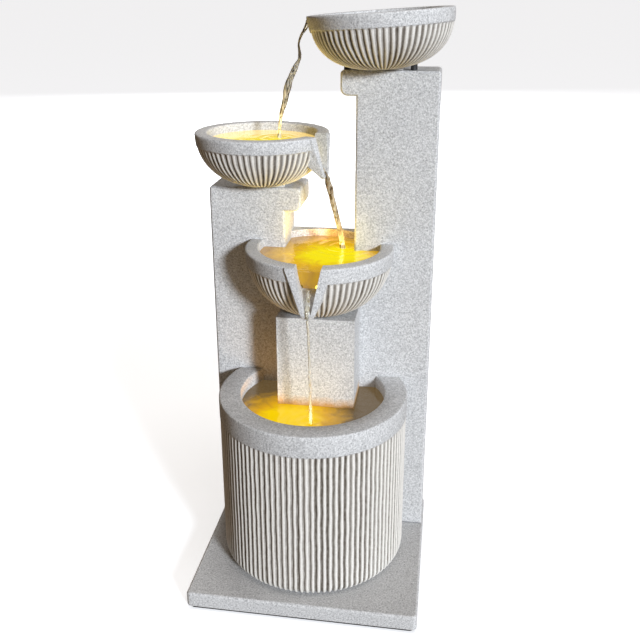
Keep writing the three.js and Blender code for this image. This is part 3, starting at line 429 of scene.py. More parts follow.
def falling_water(name, shade, light, clear):
    """Falling stream: clear water with streaks along its length; the dark streaks are painted shade and
    refraction, the white ones partly foam and partly painted highlight, and the warm tints are painted lamp
    light.
    """
    material, tree, shader = new_material(name)
    streaks = noise_at(tree, stretched_place(tree, (1.0, 1.0, 0.2)), 620.0, 3.0, 0.6, 1.2)
    # painted shade, tinted colour, then white painted highlight along the streaks
    colour = ramp(tree, streaks, [(0.34, shade), (0.5, light), (0.66, (1.0, 1.0, 0.97, 1.0))])
    set_shader(
        tree,
        shader,
        Base_Color=colour,
        Roughness=0.08,
        IOR=WATER_IOR,
        Transmission_Weight=clear,
        Normal=bump(tree, streaks, 0.5, 0.8 * MM),
    )
    return material


def lens_clear(groups):
    material, tree, shader = new_material("Lamp lens")
    skin = use_group(tree, groups["skin"], {"Grain": 400.0, "Drift": 90.0})
    colour = mix_colors(tree, skin["Tone"], (1.0, 0.62, 0.06, 1.0), (1.0, 0.80, 0.22, 1.0))
    set_shader(
        tree,
        shader,
        Base_Color=colour,
        Emission_Color=colour,
        Emission_Strength=3.0,
        Roughness=0.12,
        Transmission_Weight=0.4,
    )
    return material


def hose_vinyl(groups):
    material, tree, shader = new_material("Riser vinyl")
    skin = use_group(tree, groups["skin"], {"Grain": 300.0, "Drift": 40.0})
    colour = mix_colors(tree, skin["Tone"], (0.62, 0.70, 0.66, 1.0), (0.84, 0.90, 0.88, 1.0))
    set_shader(
        tree,
        shader,
        Base_Color=colour,
        Roughness=0.18,
        Transmission_Weight=0.55,
        IOR=1.45,
        Normal=bump(tree, skin["Height"], 0.1, 0.3 * MM),
    )
    return material


def board_mask(groups):
    material, tree, shader = new_material("Solder mask")
    skin = use_group(tree, groups["skin"], {"Grain": 700.0, "Drift": 160.0})
    values = {"Vector": object_place(tree), "Scale": 190.0, "Mortar Size": 0.05}
    lanes = add_node(tree, "ShaderNodeTexBrick", values)
    traces = mix_colors(tree, lanes.outputs["Fac"], (0.012, 0.10, 0.035, 1.0), (0.05, 0.24, 0.09, 1.0))
    colour = mix_colors(tree, times(tree, skin["Tone"], 0.5), traces, (0.01, 0.07, 0.03, 1.0))
    relief = bump(tree, skin["Height"], 0.1, 0.2 * MM)
    set_shader(tree, shader, Base_Color=colour, Roughness=0.35, Normal=relief)
    return material


# slot: title, dark tone, light tone, roughness, grain, dust, bump
MOULDED = {
    "foam_pad": ("Foam pad", (0.02, 0.02, 0.021), (0.05, 0.05, 0.052), 0.9, 420.0, 0.2, 0.6),
    "white_silicone": ("Sealant", (0.66, 0.65, 0.61), (0.86, 0.86, 0.83), 0.4, 300.0, 0.2, 0.4),
    "black_rubber": ("Black rubber", (0.010, 0.010, 0.011), (0.028, 0.028, 0.03), 0.65, 800.0, 0.3, 0.25),
    "pump_plastic": ("Pump plastic", (0.012, 0.013, 0.015), (0.03, 0.032, 0.035), 0.42, 900.0, 0.25, 0.25),
    "cover_plastic": ("Cover plastic", (0.20, 0.20, 0.197), (0.30, 0.30, 0.295), 0.55, 1100.0, 0.5, 0.45),
    "magnet": ("Rotor ferrite", (0.03, 0.03, 0.033), (0.07, 0.07, 0.075), 0.5, 1200.0, 0.0, 0.25),
    "cable_jacket": ("Cable jacket", (0.008, 0.008, 0.009), (0.02, 0.02, 0.022), 0.5, 500.0, 0.35, 0.25),
}
# slot: title, place of the lamp, reach, painted colour over the lamp, between and at the edge (a dark edge
# is painted shade), strength of the painted glow
LIT_WATER = {
    "basin_water": (
        "Basin water", (-14.0, -24.0, BASIN_WATER), 44.0,
        (0.92, 0.62, 0.0), (0.68, 0.36, 0.01), (0.13, 0.085, 0.035), 0.9,
    ),
    "middle_water": (
        "Middle water", (10.0, 19.0, MIDDLE_WATER), 46.0,
        (0.95, 0.80, 0.0), (0.78, 0.46, 0.01), (0.40, 0.22, 0.05), 0.85,
    ),
    "left_water": (
        "Left water", (-38.0, 7.0, LEFT_WATER), 50.0,
        (0.94, 0.90, 0.0), (0.88, 0.70, 0.06), (0.84, 0.60, 0.18), 0.95,
    ),
    "top_water": (
        "Top water", (39.0, 36.0, TOP_WATER), 50.0,
        (0.62, 0.60, 0.50), (0.50, 0.48, 0.40), (0.36, 0.33, 0.27), 0.1,
    ),
}
# slot: title, dark colour of the painted shade streaks, lighter colour with the lamps' warm light painted
# in, share of clear water
FALLING_WATER = {
    "upper_stream": ("Upper stream", (0.02, 0.018, 0.012), (0.50, 0.46, 0.38), 0.45),
    "amber_stream": ("Amber stream", (0.10, 0.06, 0.03), (0.62, 0.50, 0.33), 0.5),
    "pale_stream": ("Pale stream", (0.60, 0.46, 0.24), (0.95, 0.91, 0.78), 0.72),
}


def make_materials():
    groups = {
        "stone": stone_grain_group(),
        "skin": surface_texture_group(),
        "dust": dust_group(),
        "top_streaks": top_streak_group(),
    }
    made = {
        "cast_stone": cast_stone("Cast stone", groups),
        "block_stone": cast_stone("Block stone", groups, BASIN_WATER),
        "steel": metal("Screw steel", (0.62, 0.62, 0.63, 1.0), 0.3, groups),
        "nickel": metal("Nickel plate", (0.72, 0.69, 0.62, 1.0), 0.25, groups),
        "lamp_lens": lens_clear(groups),
        "vinyl_hose": hose_vinyl(groups),
        "board_green": board_mask(groups),
    }
    for slot, (title, low, high, rough, grain, dust, strength) in MOULDED.items():
        made[slot] = moulded(title, low + (1.0,), high + (1.0,), rough, grain, dust, strength, groups)
    for slot, (title, lamp, reach, core, body, edge, glow) in LIT_WATER.items():
        made[slot] = lit_water(title, lamp, reach, core + (1.0,), body + (1.0,), edge + (1.0,), glow)
    for slot, (title, shade, light, clear) in FALLING_WATER.items():
        made[slot] = falling_water(title, shade + (1.0,), light + (1.0,), clear)
    return made


# ---- mesh building ----
def add_piece(name, mesh, material, replaced=()):
    """A piece on the root body; replaced names the CAD nodes whose looks it takes over."""
    obj = bpy.data.objects.new(name, mesh)
    show(obj)
    mesh.materials.clear()
    mesh.materials.append(material)
    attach(obj, ROOT)
    if replaced:
        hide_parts(*replaced)


def soften(mesh, degrees):
    mesh.shade_smooth()
    mesh.set_sharp_from_angle(angle=math.radians(degrees))


def rings_mesh(name, rings, masks=None):
    """Closed skin through rings of points, with (groove, fluted) masks at each: painted groove shade and
    the share of the fluted tint; each end closes at its middle.
    """
    count = len(rings[0])
    points = [p for ring in rings for p in ring]
    values = [m for ring in masks for m in ring] if masks else [(0.0, 0.0)] * len(points)
    faces = []
    for row in range(len(rings) - 1):
        for column in range(count):
            following = (column + 1) % count
            a, b = row * count + column, row * count + following
            faces.append((a, b, b + count, a + count))
    for end, row in ((0, 0), (1, len(rings) - 1)):
        ring = rings[row]
        centre = sum((Vector(p) for p in ring), Vector()) / count
        points.append(tuple(centre))
        values.append((0.0, 0.0))
        apex = len(points) - 1
        for column in range(count):
            a, b = row * count + column, row * count + (column + 1) % count
            faces.append((b, a, apex) if end == 0 else (a, b, apex))
    mesh = bpy.data.meshes.new(name)
    mesh.from_pydata([Vector(p) * MM for p in points], [], faces)
    if masks:
        for column, title in enumerate(("groove", "fluted")):
            attribute = mesh.attributes.new(title, "FLOAT", "POINT")
            attribute.data.foreach_set("value", [value[column] for value in values])
    mesh.update()
    return mesh


def finished(name, work):
    mesh = bpy.data.meshes.new(name)
    work.to_mesh(mesh)
    work.free()
    return mesh


def face_outward(mesh):
    work = bmesh.new()
    work.from_mesh(mesh)
    bmesh.ops.recalc_face_normals(work, faces=work.faces)
    work.to_mesh(mesh)
    work.free()


def smooth_step(value):
    value = min(max(value, 0.0), 1.0)
    return value * value * (3.0 - 2.0 * value)


def normals_of(profile):
    """Outward normal of a profile that runs from the rim down the outside to the foot."""
    result = []
    for i in range(len(profile)):
        before = profile[max(i - 1, 0)]
        after = profile[min(i + 1, len(profile) - 1)]
        dr, dz = after[0] - before[0], after[1] - before[1]
        size = math.hypot(dr, dz) or 1.0
        result.append((-dz / size, dr / size))
    return result


def fluted_rings(size, profile, seed):
    """Rings of an outside with flutes under its band; each profile point is (r, z, share of groove)."""
    rng = random.Random(seed)
    flutes = size["flutes"]
    deep = [size["groove"] * rng.uniform(0.82, 1.12) for _ in range(flutes)]
    # strength of each flute's painted groove shade
    groove_shade_strength = [rng.uniform(0.72, 1.0) for _ in range(flutes)]
    normals = normals_of(profile)
    rings, masks = [], []
    for (radius, z, share), (nr, nz) in zip(profile, normals):
        pitch = 2 * math.pi * radius / flutes
        drift = [noise.noise(Vector((k * 3.7, z * 0.11, seed * 5.1))) for k in range(flutes)]
        wander = [GROOVE_WANDER * value for value in drift]
        ring, mask = [], []
        for k in range(flutes):
            after = (k + 1) % flutes
            for u in STATIONS:
                angle = 2 * math.pi * (k + u + (1 - u) * wander[k] + u * wander[after]) / flutes
                near = k if u < 0.5 else after
                cut = 1.0 - math.sin(math.pi * u) ** GROOVE_POWER if u > 0 else 1.0
                depth = share * min(deep[near], GROOVE_LIMIT * pitch) * cut
                r = max(radius - depth * nr, 0.4)
                ring.append((r * math.cos(angle), r * math.sin(angle), z - depth * nz))
                # first mask: painted shade in the groove; second: the share of the fluted tint
                mask.append((share * groove_shade_strength[near] * smooth_step((cut - 0.04) / 0.42), share))
        rings.append(ring)
        masks.append(mask)
    return rings, masks


def plain_rings(profile, flutes):
    """Rings of an inside, with as many points as the fluted outside."""
    rings, masks = [], []
    for radius, z in profile:
        ring = []
        for k in range(flutes):
            for u in STATIONS:
                angle = 2 * math.pi * (k + u) / flutes
                ring.append((radius * math.cos(angle), radius * math.sin(angle), z))
        rings.append(ring)
        masks.append([(0.0, 0.0)] * len(ring))
    return rings, masks


def apply_shape(obj):
    """The object's mesh with its modifiers made real; the object itself is removed."""
    graph = bpy.context.evaluated_depsgraph_get()
    mesh = bpy.data.meshes.new_from_object(obj.evaluated_get(graph))
    old = obj.data
    bpy.data.objects.remove(obj)
    bpy.data.meshes.remove(old)
    return mesh


def combine(mesh, steps):
    """Joins or cuts the mesh with others, in order; each step is (operation, mesh)."""
    base = bpy.data.objects.new("work", mesh)
    show(base)
    others = []
    for operation, other in steps:
        tool = bpy.data.objects.new("tool", other)
        show(tool)
        others.append(tool)
        step = base.modifiers.new("step", "BOOLEAN")
        step.operation = operation
        step.solver = "EXACT"
        step.object = tool
    result = apply_shape(base)
    for tool in others:
        data = tool.data
        bpy.data.objects.remove(tool)
        bpy.data.meshes.remove(data)
    return result


def hull_mesh(name, points, rounding):
    """The smallest convex solid around some points, with rounded edges."""
    work = bmesh.new()
    for p in points:
        work.verts.new(Vector(p) * MM)
    bmesh.ops.convex_hull(work, input=work.verts)
    bmesh.ops.dissolve_limit(work, angle_limit=math.radians(2), verts=work.verts, edges=work.edges)
    bmesh.ops.bevel(
        work,
        geom=list(work.edges),
        offset=rounding * MM,
        segments=3,
        profile=0.5,
        affect="EDGES",
        clamp_overlap=True,
    )
    return finished(name, work)


def both_sides(rows):
    """Points given on one side of a bowl's pouring line, and the same on the other side."""
    return [(u, side * v, z) for u, v, z in rows for side in (1, -1)]


def place_mesh(mesh, matrix):
    mesh.transform(matrix)
    mesh.update()
    return mesh


def cut_behind(mesh, plane_y):
    """Removes what lies behind a plane across the fountain and closes the cut."""
    work = bmesh.new()
    work.from_mesh(mesh)
    geometry = list(work.verts) + list(work.edges) + list(work.faces)
    plane = {"plane_co": (0, plane_y * MM, 0), "plane_no": (0, 1, 0)}
    bmesh.ops.bisect_plane(work, geom=geometry, clear_outer=True, **plane)
    rim = [edge for edge in work.edges if edge.is_boundary]
    bmesh.ops.holes_fill(work, edges=rim, sides=0)
    work.to_mesh(mesh)
    work.free()


# ---- basin ----
def basin_profile():
    """Outside of the basin from its rim to its rounded foot; each point is (r, z, share of groove)."""
    size = BASIN
    radius, rim, foot = size["radius"], BASIN_HIGH.z, BASIN_LOW.z
    band_end = rim - size["band"]
    outer = [(radius - 1.3, rim, 0.0), (radius - 0.55, rim - 0.15, 0.0), (radius - 0.1, rim - 0.6, 0.0)]
    outer += [(radius, rim - 1.4, 0.0), (radius, band_end + 0.5, 0.0), (radius - 0.12, band_end, 0.0)]
    ridge = radius - 0.3
    outer += [(ridge, band_end - 0.35, 0.25), (ridge, band_end - 0.9, 0.8), (ridge, band_end - 1.7, 1.0)]
    upper, lower = band_end - 1.7, foot + size["foot"]
    steps = 22
    for i in range(1, steps + 1):
        outer.append((ridge, upper - (upper - lower) * i / steps, 1.0))
    for i in range(1, 8):
        angle = math.pi / 2 * i / 7
        r = ridge - size["foot"] * (1 - math.cos(angle))
        outer.append((r, lower - size["foot"] * math.sin(angle), 1.0 - 0.9 * smooth_step((i - 4) / 3)))
    return outer


def make_basin(material):
    """Fluted basin, open at the back where it meets the wall."""
    size = BASIN
    outer = basin_profile()
    inner = size["radius"] - size["wall"]
    rim = BASIN_HIGH.z
    inside = [(inner, FLOOR_TOP), (inner, rim - 30), (inner, rim - 8), (inner, rim - 1.2)]
    inside += [(inner + 0.25, rim - 0.45), (inner + 0.9, rim - 0.05), (size["radius"] - 7.0, rim)]
    first, first_masks = plain_rings(inside, size["flutes"])
    rings, masks = fluted_rings(size, outer, 3)
    mesh = rings_mesh("basin_fluted", first + rings, first_masks + masks)
    place_mesh(mesh, Matrix.Translation(Vector((size["x"], size["y"], 0)) * MM))
    cut_behind(mesh, WALL_FRONT - WALL_GAP)
    face_outward(mesh)
    soften(mesh, 50.0)
    add_piece("basin_fluted", mesh, material, ("basin",))


# ---- bowls ----
def bowl_radius(radius, depth, power, z):
    """Radius of a bowl's round outside at a height below its rim; a power of two is an ellipse."""
    drop = min(-z * FOOT_FLAT / depth, FOOT_FLAT)
    return radius * (1 - drop**power) ** (1 / power)


def bowl_curve(radius, depth, power, steps=160):
    """Points from the rim down to the edge of the flat foot, evenly spread along the curve."""
    dense = []
    for i in range(steps + 1):
        z = -depth * math.sin(math.pi / 2 * i / steps)
        dense.append((bowl_radius(radius, depth, power, z), z))
    return dense


def at_lengths(curve, lengths):
    """Points of a curve at distances along it."""
    result, walked, k = [], 0.0, 0
    for length in lengths:
        while k < len(curve) - 2:
            step = math.dist(curve[k], curve[k + 1])
            if walked + step >= length:
                break
            walked += step
            k += 1
        step = math.dist(curve[k], curve[k + 1]) or 1.0
        share = min(max((length - walked) / step, 0.0), 1.0)
        a, b = curve[k], curve[k + 1]
        result.append((a[0] + (b[0] - a[0]) * share, a[1] + (b[1] - a[1]) * share))
    return result


def bowl_profile(size):
    """Outside of a bowl from its rim to its foot; each point is (r, z, share of groove)."""
    curve = bowl_curve(size["radius"], size["depth"], size["round"])
    total = sum(math.dist(a, b) for a, b in zip(curve, curve[1:]))
    band = size["band"]
    start = band + 1.7
    lengths = [1.5, 3.2, band * 0.7, band - 0.5, band, band + 0.35, band + 0.9, start]
    shares = [0, 0, 0, 0, 0, 0.25, 0.8, 1.0]
    count = 20
    for i in range(1, count + 1):
        lengths.append(start + (total - start) * i / count)
        shares.append(1.0 - 0.8 * smooth_step((i - count + 3) / 3))
    rows = []
    for (r, z), share in zip(at_lengths(curve, lengths), shares):
        recess = RIDGE_RECESS if share > 0 else 0.0
        rows.append((r - recess, z, share))
    edge = ((1.5, 0.0), (0.7, -0.12), (0.18, -0.55))
    return [(size["radius"] - inward, z, 0.0) for inward, z in edge] + rows


def hollow_mesh(size):
    """The bowl's hollow grown a little into its wall, to trim what is joined to the outside."""
    radius, depth = size["radius"] - size["wall"] + 2.0, size["depth"] - size["wall"] + 2.0
    profile = [(radius, 6.0)] + bowl_curve(radius, depth, size["round"], 16)
    rings = [[(r * math.cos(a), r * math.sin(a), z) for a in TURN_STEPS] for r, z in profile]
    mesh = rings_mesh("hollow", rings)
    face_outward(mesh)
    return mesh


def bowl_mesh(size, seed):
    """A whole bowl about its own axis, with its rim at height zero."""
    radius, depth, wall = size["radius"], size["depth"], size["wall"]
    inner = bowl_curve(radius - wall, depth - wall, size["round"], 20)
    inside = [(r, z) for r, z in reversed(inner) if z < -1.0]
    rim_inner = radius - wall
    inside += [(rim_inner + 0.22, -0.5), (rim_inner + 0.8, -0.1), (rim_inner + 1.6, 0.0)]
    first, first_masks = plain_rings(inside, size["flutes"])
    rings, masks = fluted_rings(size, bowl_profile(size), seed)
    mesh = rings_mesh("bowl", first + rings, first_masks + masks)
    face_outward(mesh)
    return mesh


def beak_mesh(size, spout):
    """The stone of a spout, before its channel is cut."""
    radius = size["radius"]
    front = radius - 0.8
    return hull_mesh("beak", both_sides([
        (radius * 0.6, spout["mouth"], -0.25),
        (front, spout["mouth"] * 0.95, -0.25),
        (radius + spout["reach"], spout["tip"], -spout["drop"] + 2.5),
        (radius + spout["reach"] - 1, spout["tip"] * 0.8, -spout["drop"]),
        (radius * 0.6, spout["mouth"], -spout["drop"] * 0.3),
    ]), 0.7)


def channel_mesh(size, spout):
    """What is cut out of a bowl's wall and spout for the water to run through."""
    radius, wall = size["radius"], size["wall"]
    start, end = radius - 2 * wall, radius + spout["reach"] + 2
    return hull_mesh("channel", both_sides([
        (start, spout["channel"], 3),
        (end, spout["channel"], 3),
        (start, spout["channel"] * 0.75, -SPOUT_SILL),
        (radius - wall - 1, spout["channel"] * 0.7, -SPOUT_SILL),
        (end, spout["slot"], -spout["drop"] + 1.2),
    ]), 0.5)


def lip_mesh(size):
    """The top bowl's short pouring lip, before its channel is cut."""
    radius, wall = size["radius"], size["wall"]
    return hull_mesh("lip", both_sides([
        (-(radius - wall / 2), LIP_HALF, -0.25),
        (-(radius - wall / 2), LIP_HALF * 0.8, -11.2),
        (-(radius + LIP_REACH * 0.7), LIP_HALF * 0.62, -0.25),
        (-(radius + LIP_REACH), LIP_HALF * 0.34, -1.5),
        (-(radius + LIP_REACH), LIP_HALF * 0.3, -4.0),
        (-(radius - 1), LIP_HALF * 0.6, -10.8),
    ]), 0.6)


def lip_channel_mesh(size):
    radius, wall = size["radius"], size["wall"]
    end = radius + LIP_REACH + 2
    return hull_mesh("lip_channel", both_sides([
        (-(radius - 2 * wall), 7, 3),
        (-end, 5, 3),
        (-(radius - 2 * wall), 4, -4.5),
        (-end, 2.4, -3.5),
    ]), 0.4)


def bowl_place(size, turn=0.0):
    """From a bowl's own axis to its place and tilt on the fountain."""
    centre = Vector((size["x"], size["y"], size["rim"])) * MM
    lean = Matrix.Rotation(math.radians(-size["tilt"]), 4, "Y")
    return Matrix.Translation(centre) @ lean @ Matrix.Rotation(math.radians(turn), 4, "Z")


def make_bowls(material):
    plans = (
        ("left_bowl", LEFT, LEFT_SPOUT, 11),
        ("middle_bowl", MIDDLE, MIDDLE_SPOUT, 12),
        ("top_bowl", TOP, None, 13),
    )
    for node, size, spout, seed in plans:
        extra = beak_mesh(size, spout) if spout else lip_mesh(size)
        channel = channel_mesh(size, spout) if spout else lip_channel_mesh(size)
        turn = spout["turn"] if spout else 0.0
        trimmed = combine(extra, [("DIFFERENCE", hollow_mesh(size))])
        mesh = combine(bowl_mesh(size, seed), [("UNION", trimmed), ("DIFFERENCE", channel)])
        place_mesh(mesh, bowl_place(size, turn))
        if node == "middle_bowl":
            cut_behind(mesh, WALL_FRONT - WALL_GAP)
        soften(mesh, 50.0)
        add_piece(node + "_fluted", mesh, material, (node,))


# ---- water ----
# where water strikes each pool: x, y, then strength, wave length and fade of the rings
BASIN_DROP = (1.6, -27.0, 0.8, 8.0, 12.0)
MIDDLE_DROP = (16.0, 41.0, 0.8, 8.0, 11.0)
LEFT_DROP = (-31.5, 43.0, 0.7, 7.0, 9.0)
TOP_DROP = (41.0, 46.5, 0.5, 9.0, 14.0)


def ripple_height(x, y, drop):
    """Rings around a drop on slightly uneven water."""
    px, py, strength, wave, fade = drop
    d = math.hypot(x - px, y - py)
    height = strength * math.cos(2 * math.pi * d / wave) * math.exp(-d / fade)
    return height + 0.10 * noise.noise(Vector((x * 0.09, y * 0.09, 2.0)))


def water_sheet(name, inside, level, drop, thick, low, high, step=1.25):
    """Rippled sheet over the points that pass a test, with its own underside."""
    count_x = int((high[0] - low[0]) / step) + 1
    count_y = int((high[1] - low[1]) / step) + 1
    index, points, faces = {}, [], []
    for i in range(count_x):
        for j in range(count_y):
            x, y = low[0] + i * step, low[1] + j * step
            spot = inside(x, y)
            if spot is None:
                continue
            index[i, j] = len(points)
            points.append((spot[0], spot[1], level + ripple_height(spot[0], spot[1], drop)))
    for (i, j), a in index.items():
        b, c, d = index.get((i + 1, j)), index.get((i + 1, j + 1)), index.get((i, j + 1))
        if None not in (b, c, d):
            faces.append((a, b, c, d))
    work = bmesh.new()
    verts = [work.verts.new(Vector(p) * MM) for p in points]
    for face in faces:
        work.faces.new([verts[k] for k in face])
    loose = [v for v in work.verts if not v.link_faces]
    bmesh.ops.delete(work, geom=loose, context="VERTS")
    top = list(work.faces)
    grown = bmesh.ops.extrude_face_region(work, geom=top)
    below = [v for v in grown["geom"] if isinstance(v, bmesh.types.BMVert)]
    for v in below:
        v.co.z = (level - thick) * MM
    bmesh.ops.recalc_face_normals(work, faces=work.faces)
    mesh = finished(name, work)
    soften(mesh, 60.0)
    return mesh


def snap_inside(x, y, cx, cy, radius, margin=1.0):
    """The point itself inside a circle, or the nearest point on it if only just outside."""
    d = math.hypot(x - cx, y - cy)
    if d <= radius:
        return x, y
    if d <= radius + margin:
        return cx + (x - cx) * radius / d, cy + (y - cy) * radius / d
    return None


def make_water(materials):
    radius = BASIN["radius"] - BASIN["wall"] + 0.3

    def in_basin(x, y):
        if y > WALL_FRONT - 0.1:
            return None
        if BLOCK_LOW.x + 0.4 < x < BLOCK_HIGH.x - 0.4 and y > BLOCK_LOW.y + 0.4:
            return None
        return snap_inside(x, y, BASIN["x"], BASIN["y"], radius)

    def in_middle(x, y):
        pool = MIDDLE["radius"] - MIDDLE["wall"] + 0.3
        if y > WALL_FRONT + 0.2 and not (POOL_LEFT < x < POOL_RIGHT):
            return None
        return snap_inside(x, y, MIDDLE["x"], MIDDLE["y"], pool)

    def in_left(x, y):
        return snap_inside(x, y, LEFT["x"], LEFT["y"], LEFT["radius"] - LEFT["wall"] + 0.2)

    def in_top(x, y):
        return snap_inside(x, y, TOP["x"], TOP["y"], TOP["radius"] - TOP["wall"] - 0.3)

    sheets = (
        ("basin_water", in_basin, BASIN_WATER, BASIN_DROP, 14.0, (-54.0, -50.0), (54.0, 34.0)),
        ("middle_water", in_middle, MIDDLE_WATER, MIDDLE_DROP, 9.0, (-43.0, -20.0), (44.0, 67.0)),
        ("left_water", in_left, LEFT_WATER, LEFT_DROP, 6.0, (-80.0, -3.0), (-2.0, 76.0)),
        ("top_water", in_top, TOP_WATER, TOP_DROP, 5.0, (0.0, -3.0), (79.0, 76.0)),
    )
    for name, inside, level, drop, thick, low, high in sheets:
        mesh = water_sheet(name, inside, level, drop, thick, low, high)
        add_piece(name, mesh, materials[name])


def stream_mesh(name, stations, rough, seed, sides=14, steps=90):
    """Loft along stations of (x, y, z, half width, half thickness), with a wandering, twisting section."""
    rows = []
    for i in range(steps + 1):
        t = i / steps * (len(stations) - 1)
        k = min(int(t), len(stations) - 2)
        rows.append(catmull(stations, k, t - k))
    rings = []
    for i, (x, y, z, wide, thick) in enumerate(rows):
        ahead = Vector(rows[min(i + 1, steps)][:3]) - Vector(rows[max(i - 1, 0)][:3])
        ahead.normalize()
        side = ahead.cross(Vector((0, 0, 1)))
        if side.length < 0.05:
            side = Vector((0.2, 1.0, 0.0))
        side.normalize()
        lift = side.cross(ahead).normalized()
        twist = rough * 2.2 * noise.noise(Vector((i * 0.06, seed, 0.0)))
        ring = []
        for j in range(sides):
            angle = 2 * math.pi * j / sides
            ca, sa = math.cos(angle), math.sin(angle)
            swell = 1.0 + rough * noise.noise(Vector((ca * 1.3, sa * 1.3, i * 0.16 + seed * 9.0)))
            u, v = wide * ca * swell, thick * sa * swell
            cu = u * math.cos(twist) - v * math.sin(twist)
            cv = u * math.sin(twist) + v * math.cos(twist)
            ring.append(tuple(Vector((x, y, z)) + side * cu + lift * cv))
        rings.append(ring)
    mesh = rings_mesh(name, rings)
    face_outward(mesh)
    mesh.shade_smooth()
    return mesh


def catmull(stations, k, t):
    """A smooth curve through the stations, at a share t of the way from station k to the next."""
    p0, p1 = stations[max(k - 1, 0)], stations[k]
    p2, p3 = stations[k + 1], stations[min(k + 2, len(stations) - 1)]
    result = []
    for a, b, c, d in zip(p0, p1, p2, p3):
        square = (2 * a - 5 * b + 4 * c - d) * t * t
        cube = (3 * b - a - 3 * c + d) * t**3
        result.append(0.5 * (2 * b + (c - a) * t + square + cube))
    return result


def channel_floor(size, spout, u):
    """Height of a spout's channel floor and its half width there, at a distance from the bowl's axis."""
    sill = size["radius"] - size["wall"] - 1
    end = size["radius"] + spout["reach"] + 2
    share = min(max((u - sill) / (end - sill), 0.0), 1.0)
    floor = -SPOUT_SILL + (SPOUT_SILL - spout["drop"] + 1.2) * share
    return floor, spout["channel"] * 0.7 * (1 - share) + spout["slot"] * share


def tongue_mesh(name, size, spout, level, reach, decay):
    """Water that leaves the pool over a spout's sill and thins to a rounded tongue in its channel."""
    sill = size["radius"] - size["wall"] - 1
    surface = level - size["rim"]
    rings = []
    for i in range(25):
        u = sill - 5.0 + (reach + 5.0) * i / 24
        floor, half = channel_floor(size, spout, u)
        past = max(u - sill + 1.5, 0.0)
        top = floor + 0.25 + (surface - floor - 0.25) * math.exp(-((past / decay) ** 1.7))
        wide = half + (spout["channel"] - half) * (top - floor) / (3.0 - floor) + 0.15
        wide *= math.sqrt(max(1.0 - max((u - sill) / reach, 0.0) ** 4, 0.0)) if i < 24 else 0.05
        bottom = floor - 0.2
        top -= 0.7 * (1.0 - smooth_step(i / 9))
        ring = []
        for j in range(13):
            swell = 0.45 - 0.45 * math.cos(math.pi * (j / 6 - 1)) ** 2
            ring.append((u, wide * math.cos(math.pi * j / 12), top + swell))
        ring += [(u, -half * 0.7 * math.cos(math.pi * j / 4), bottom) for j in range(5)]
        rings.append(ring)
    mesh = rings_mesh(name, rings)
    face_outward(mesh)
    mesh.shade_smooth()
    return place_mesh(mesh, bowl_place(size, spout["turn"]))


def spout_film(size, spout):
    """Stations of the thin run down a spout's channel to its tip."""
    sill = size["radius"] - size["wall"] - 1
    tip = size["radius"] + spout["reach"]
    place = bowl_place(size, spout["turn"])
    result = []
    for share in (0.3, 0.5, 0.7, 0.9, 1.0):
        u = sill + (tip - sill) * share
        floor, half = channel_floor(size, spout, u)
        point = place @ (Vector((u, 0, floor + 0.45)) * MM) / MM
        result.append((point.x, point.y, point.z, min(half * 0.5, 1.5), 0.45))
    return result


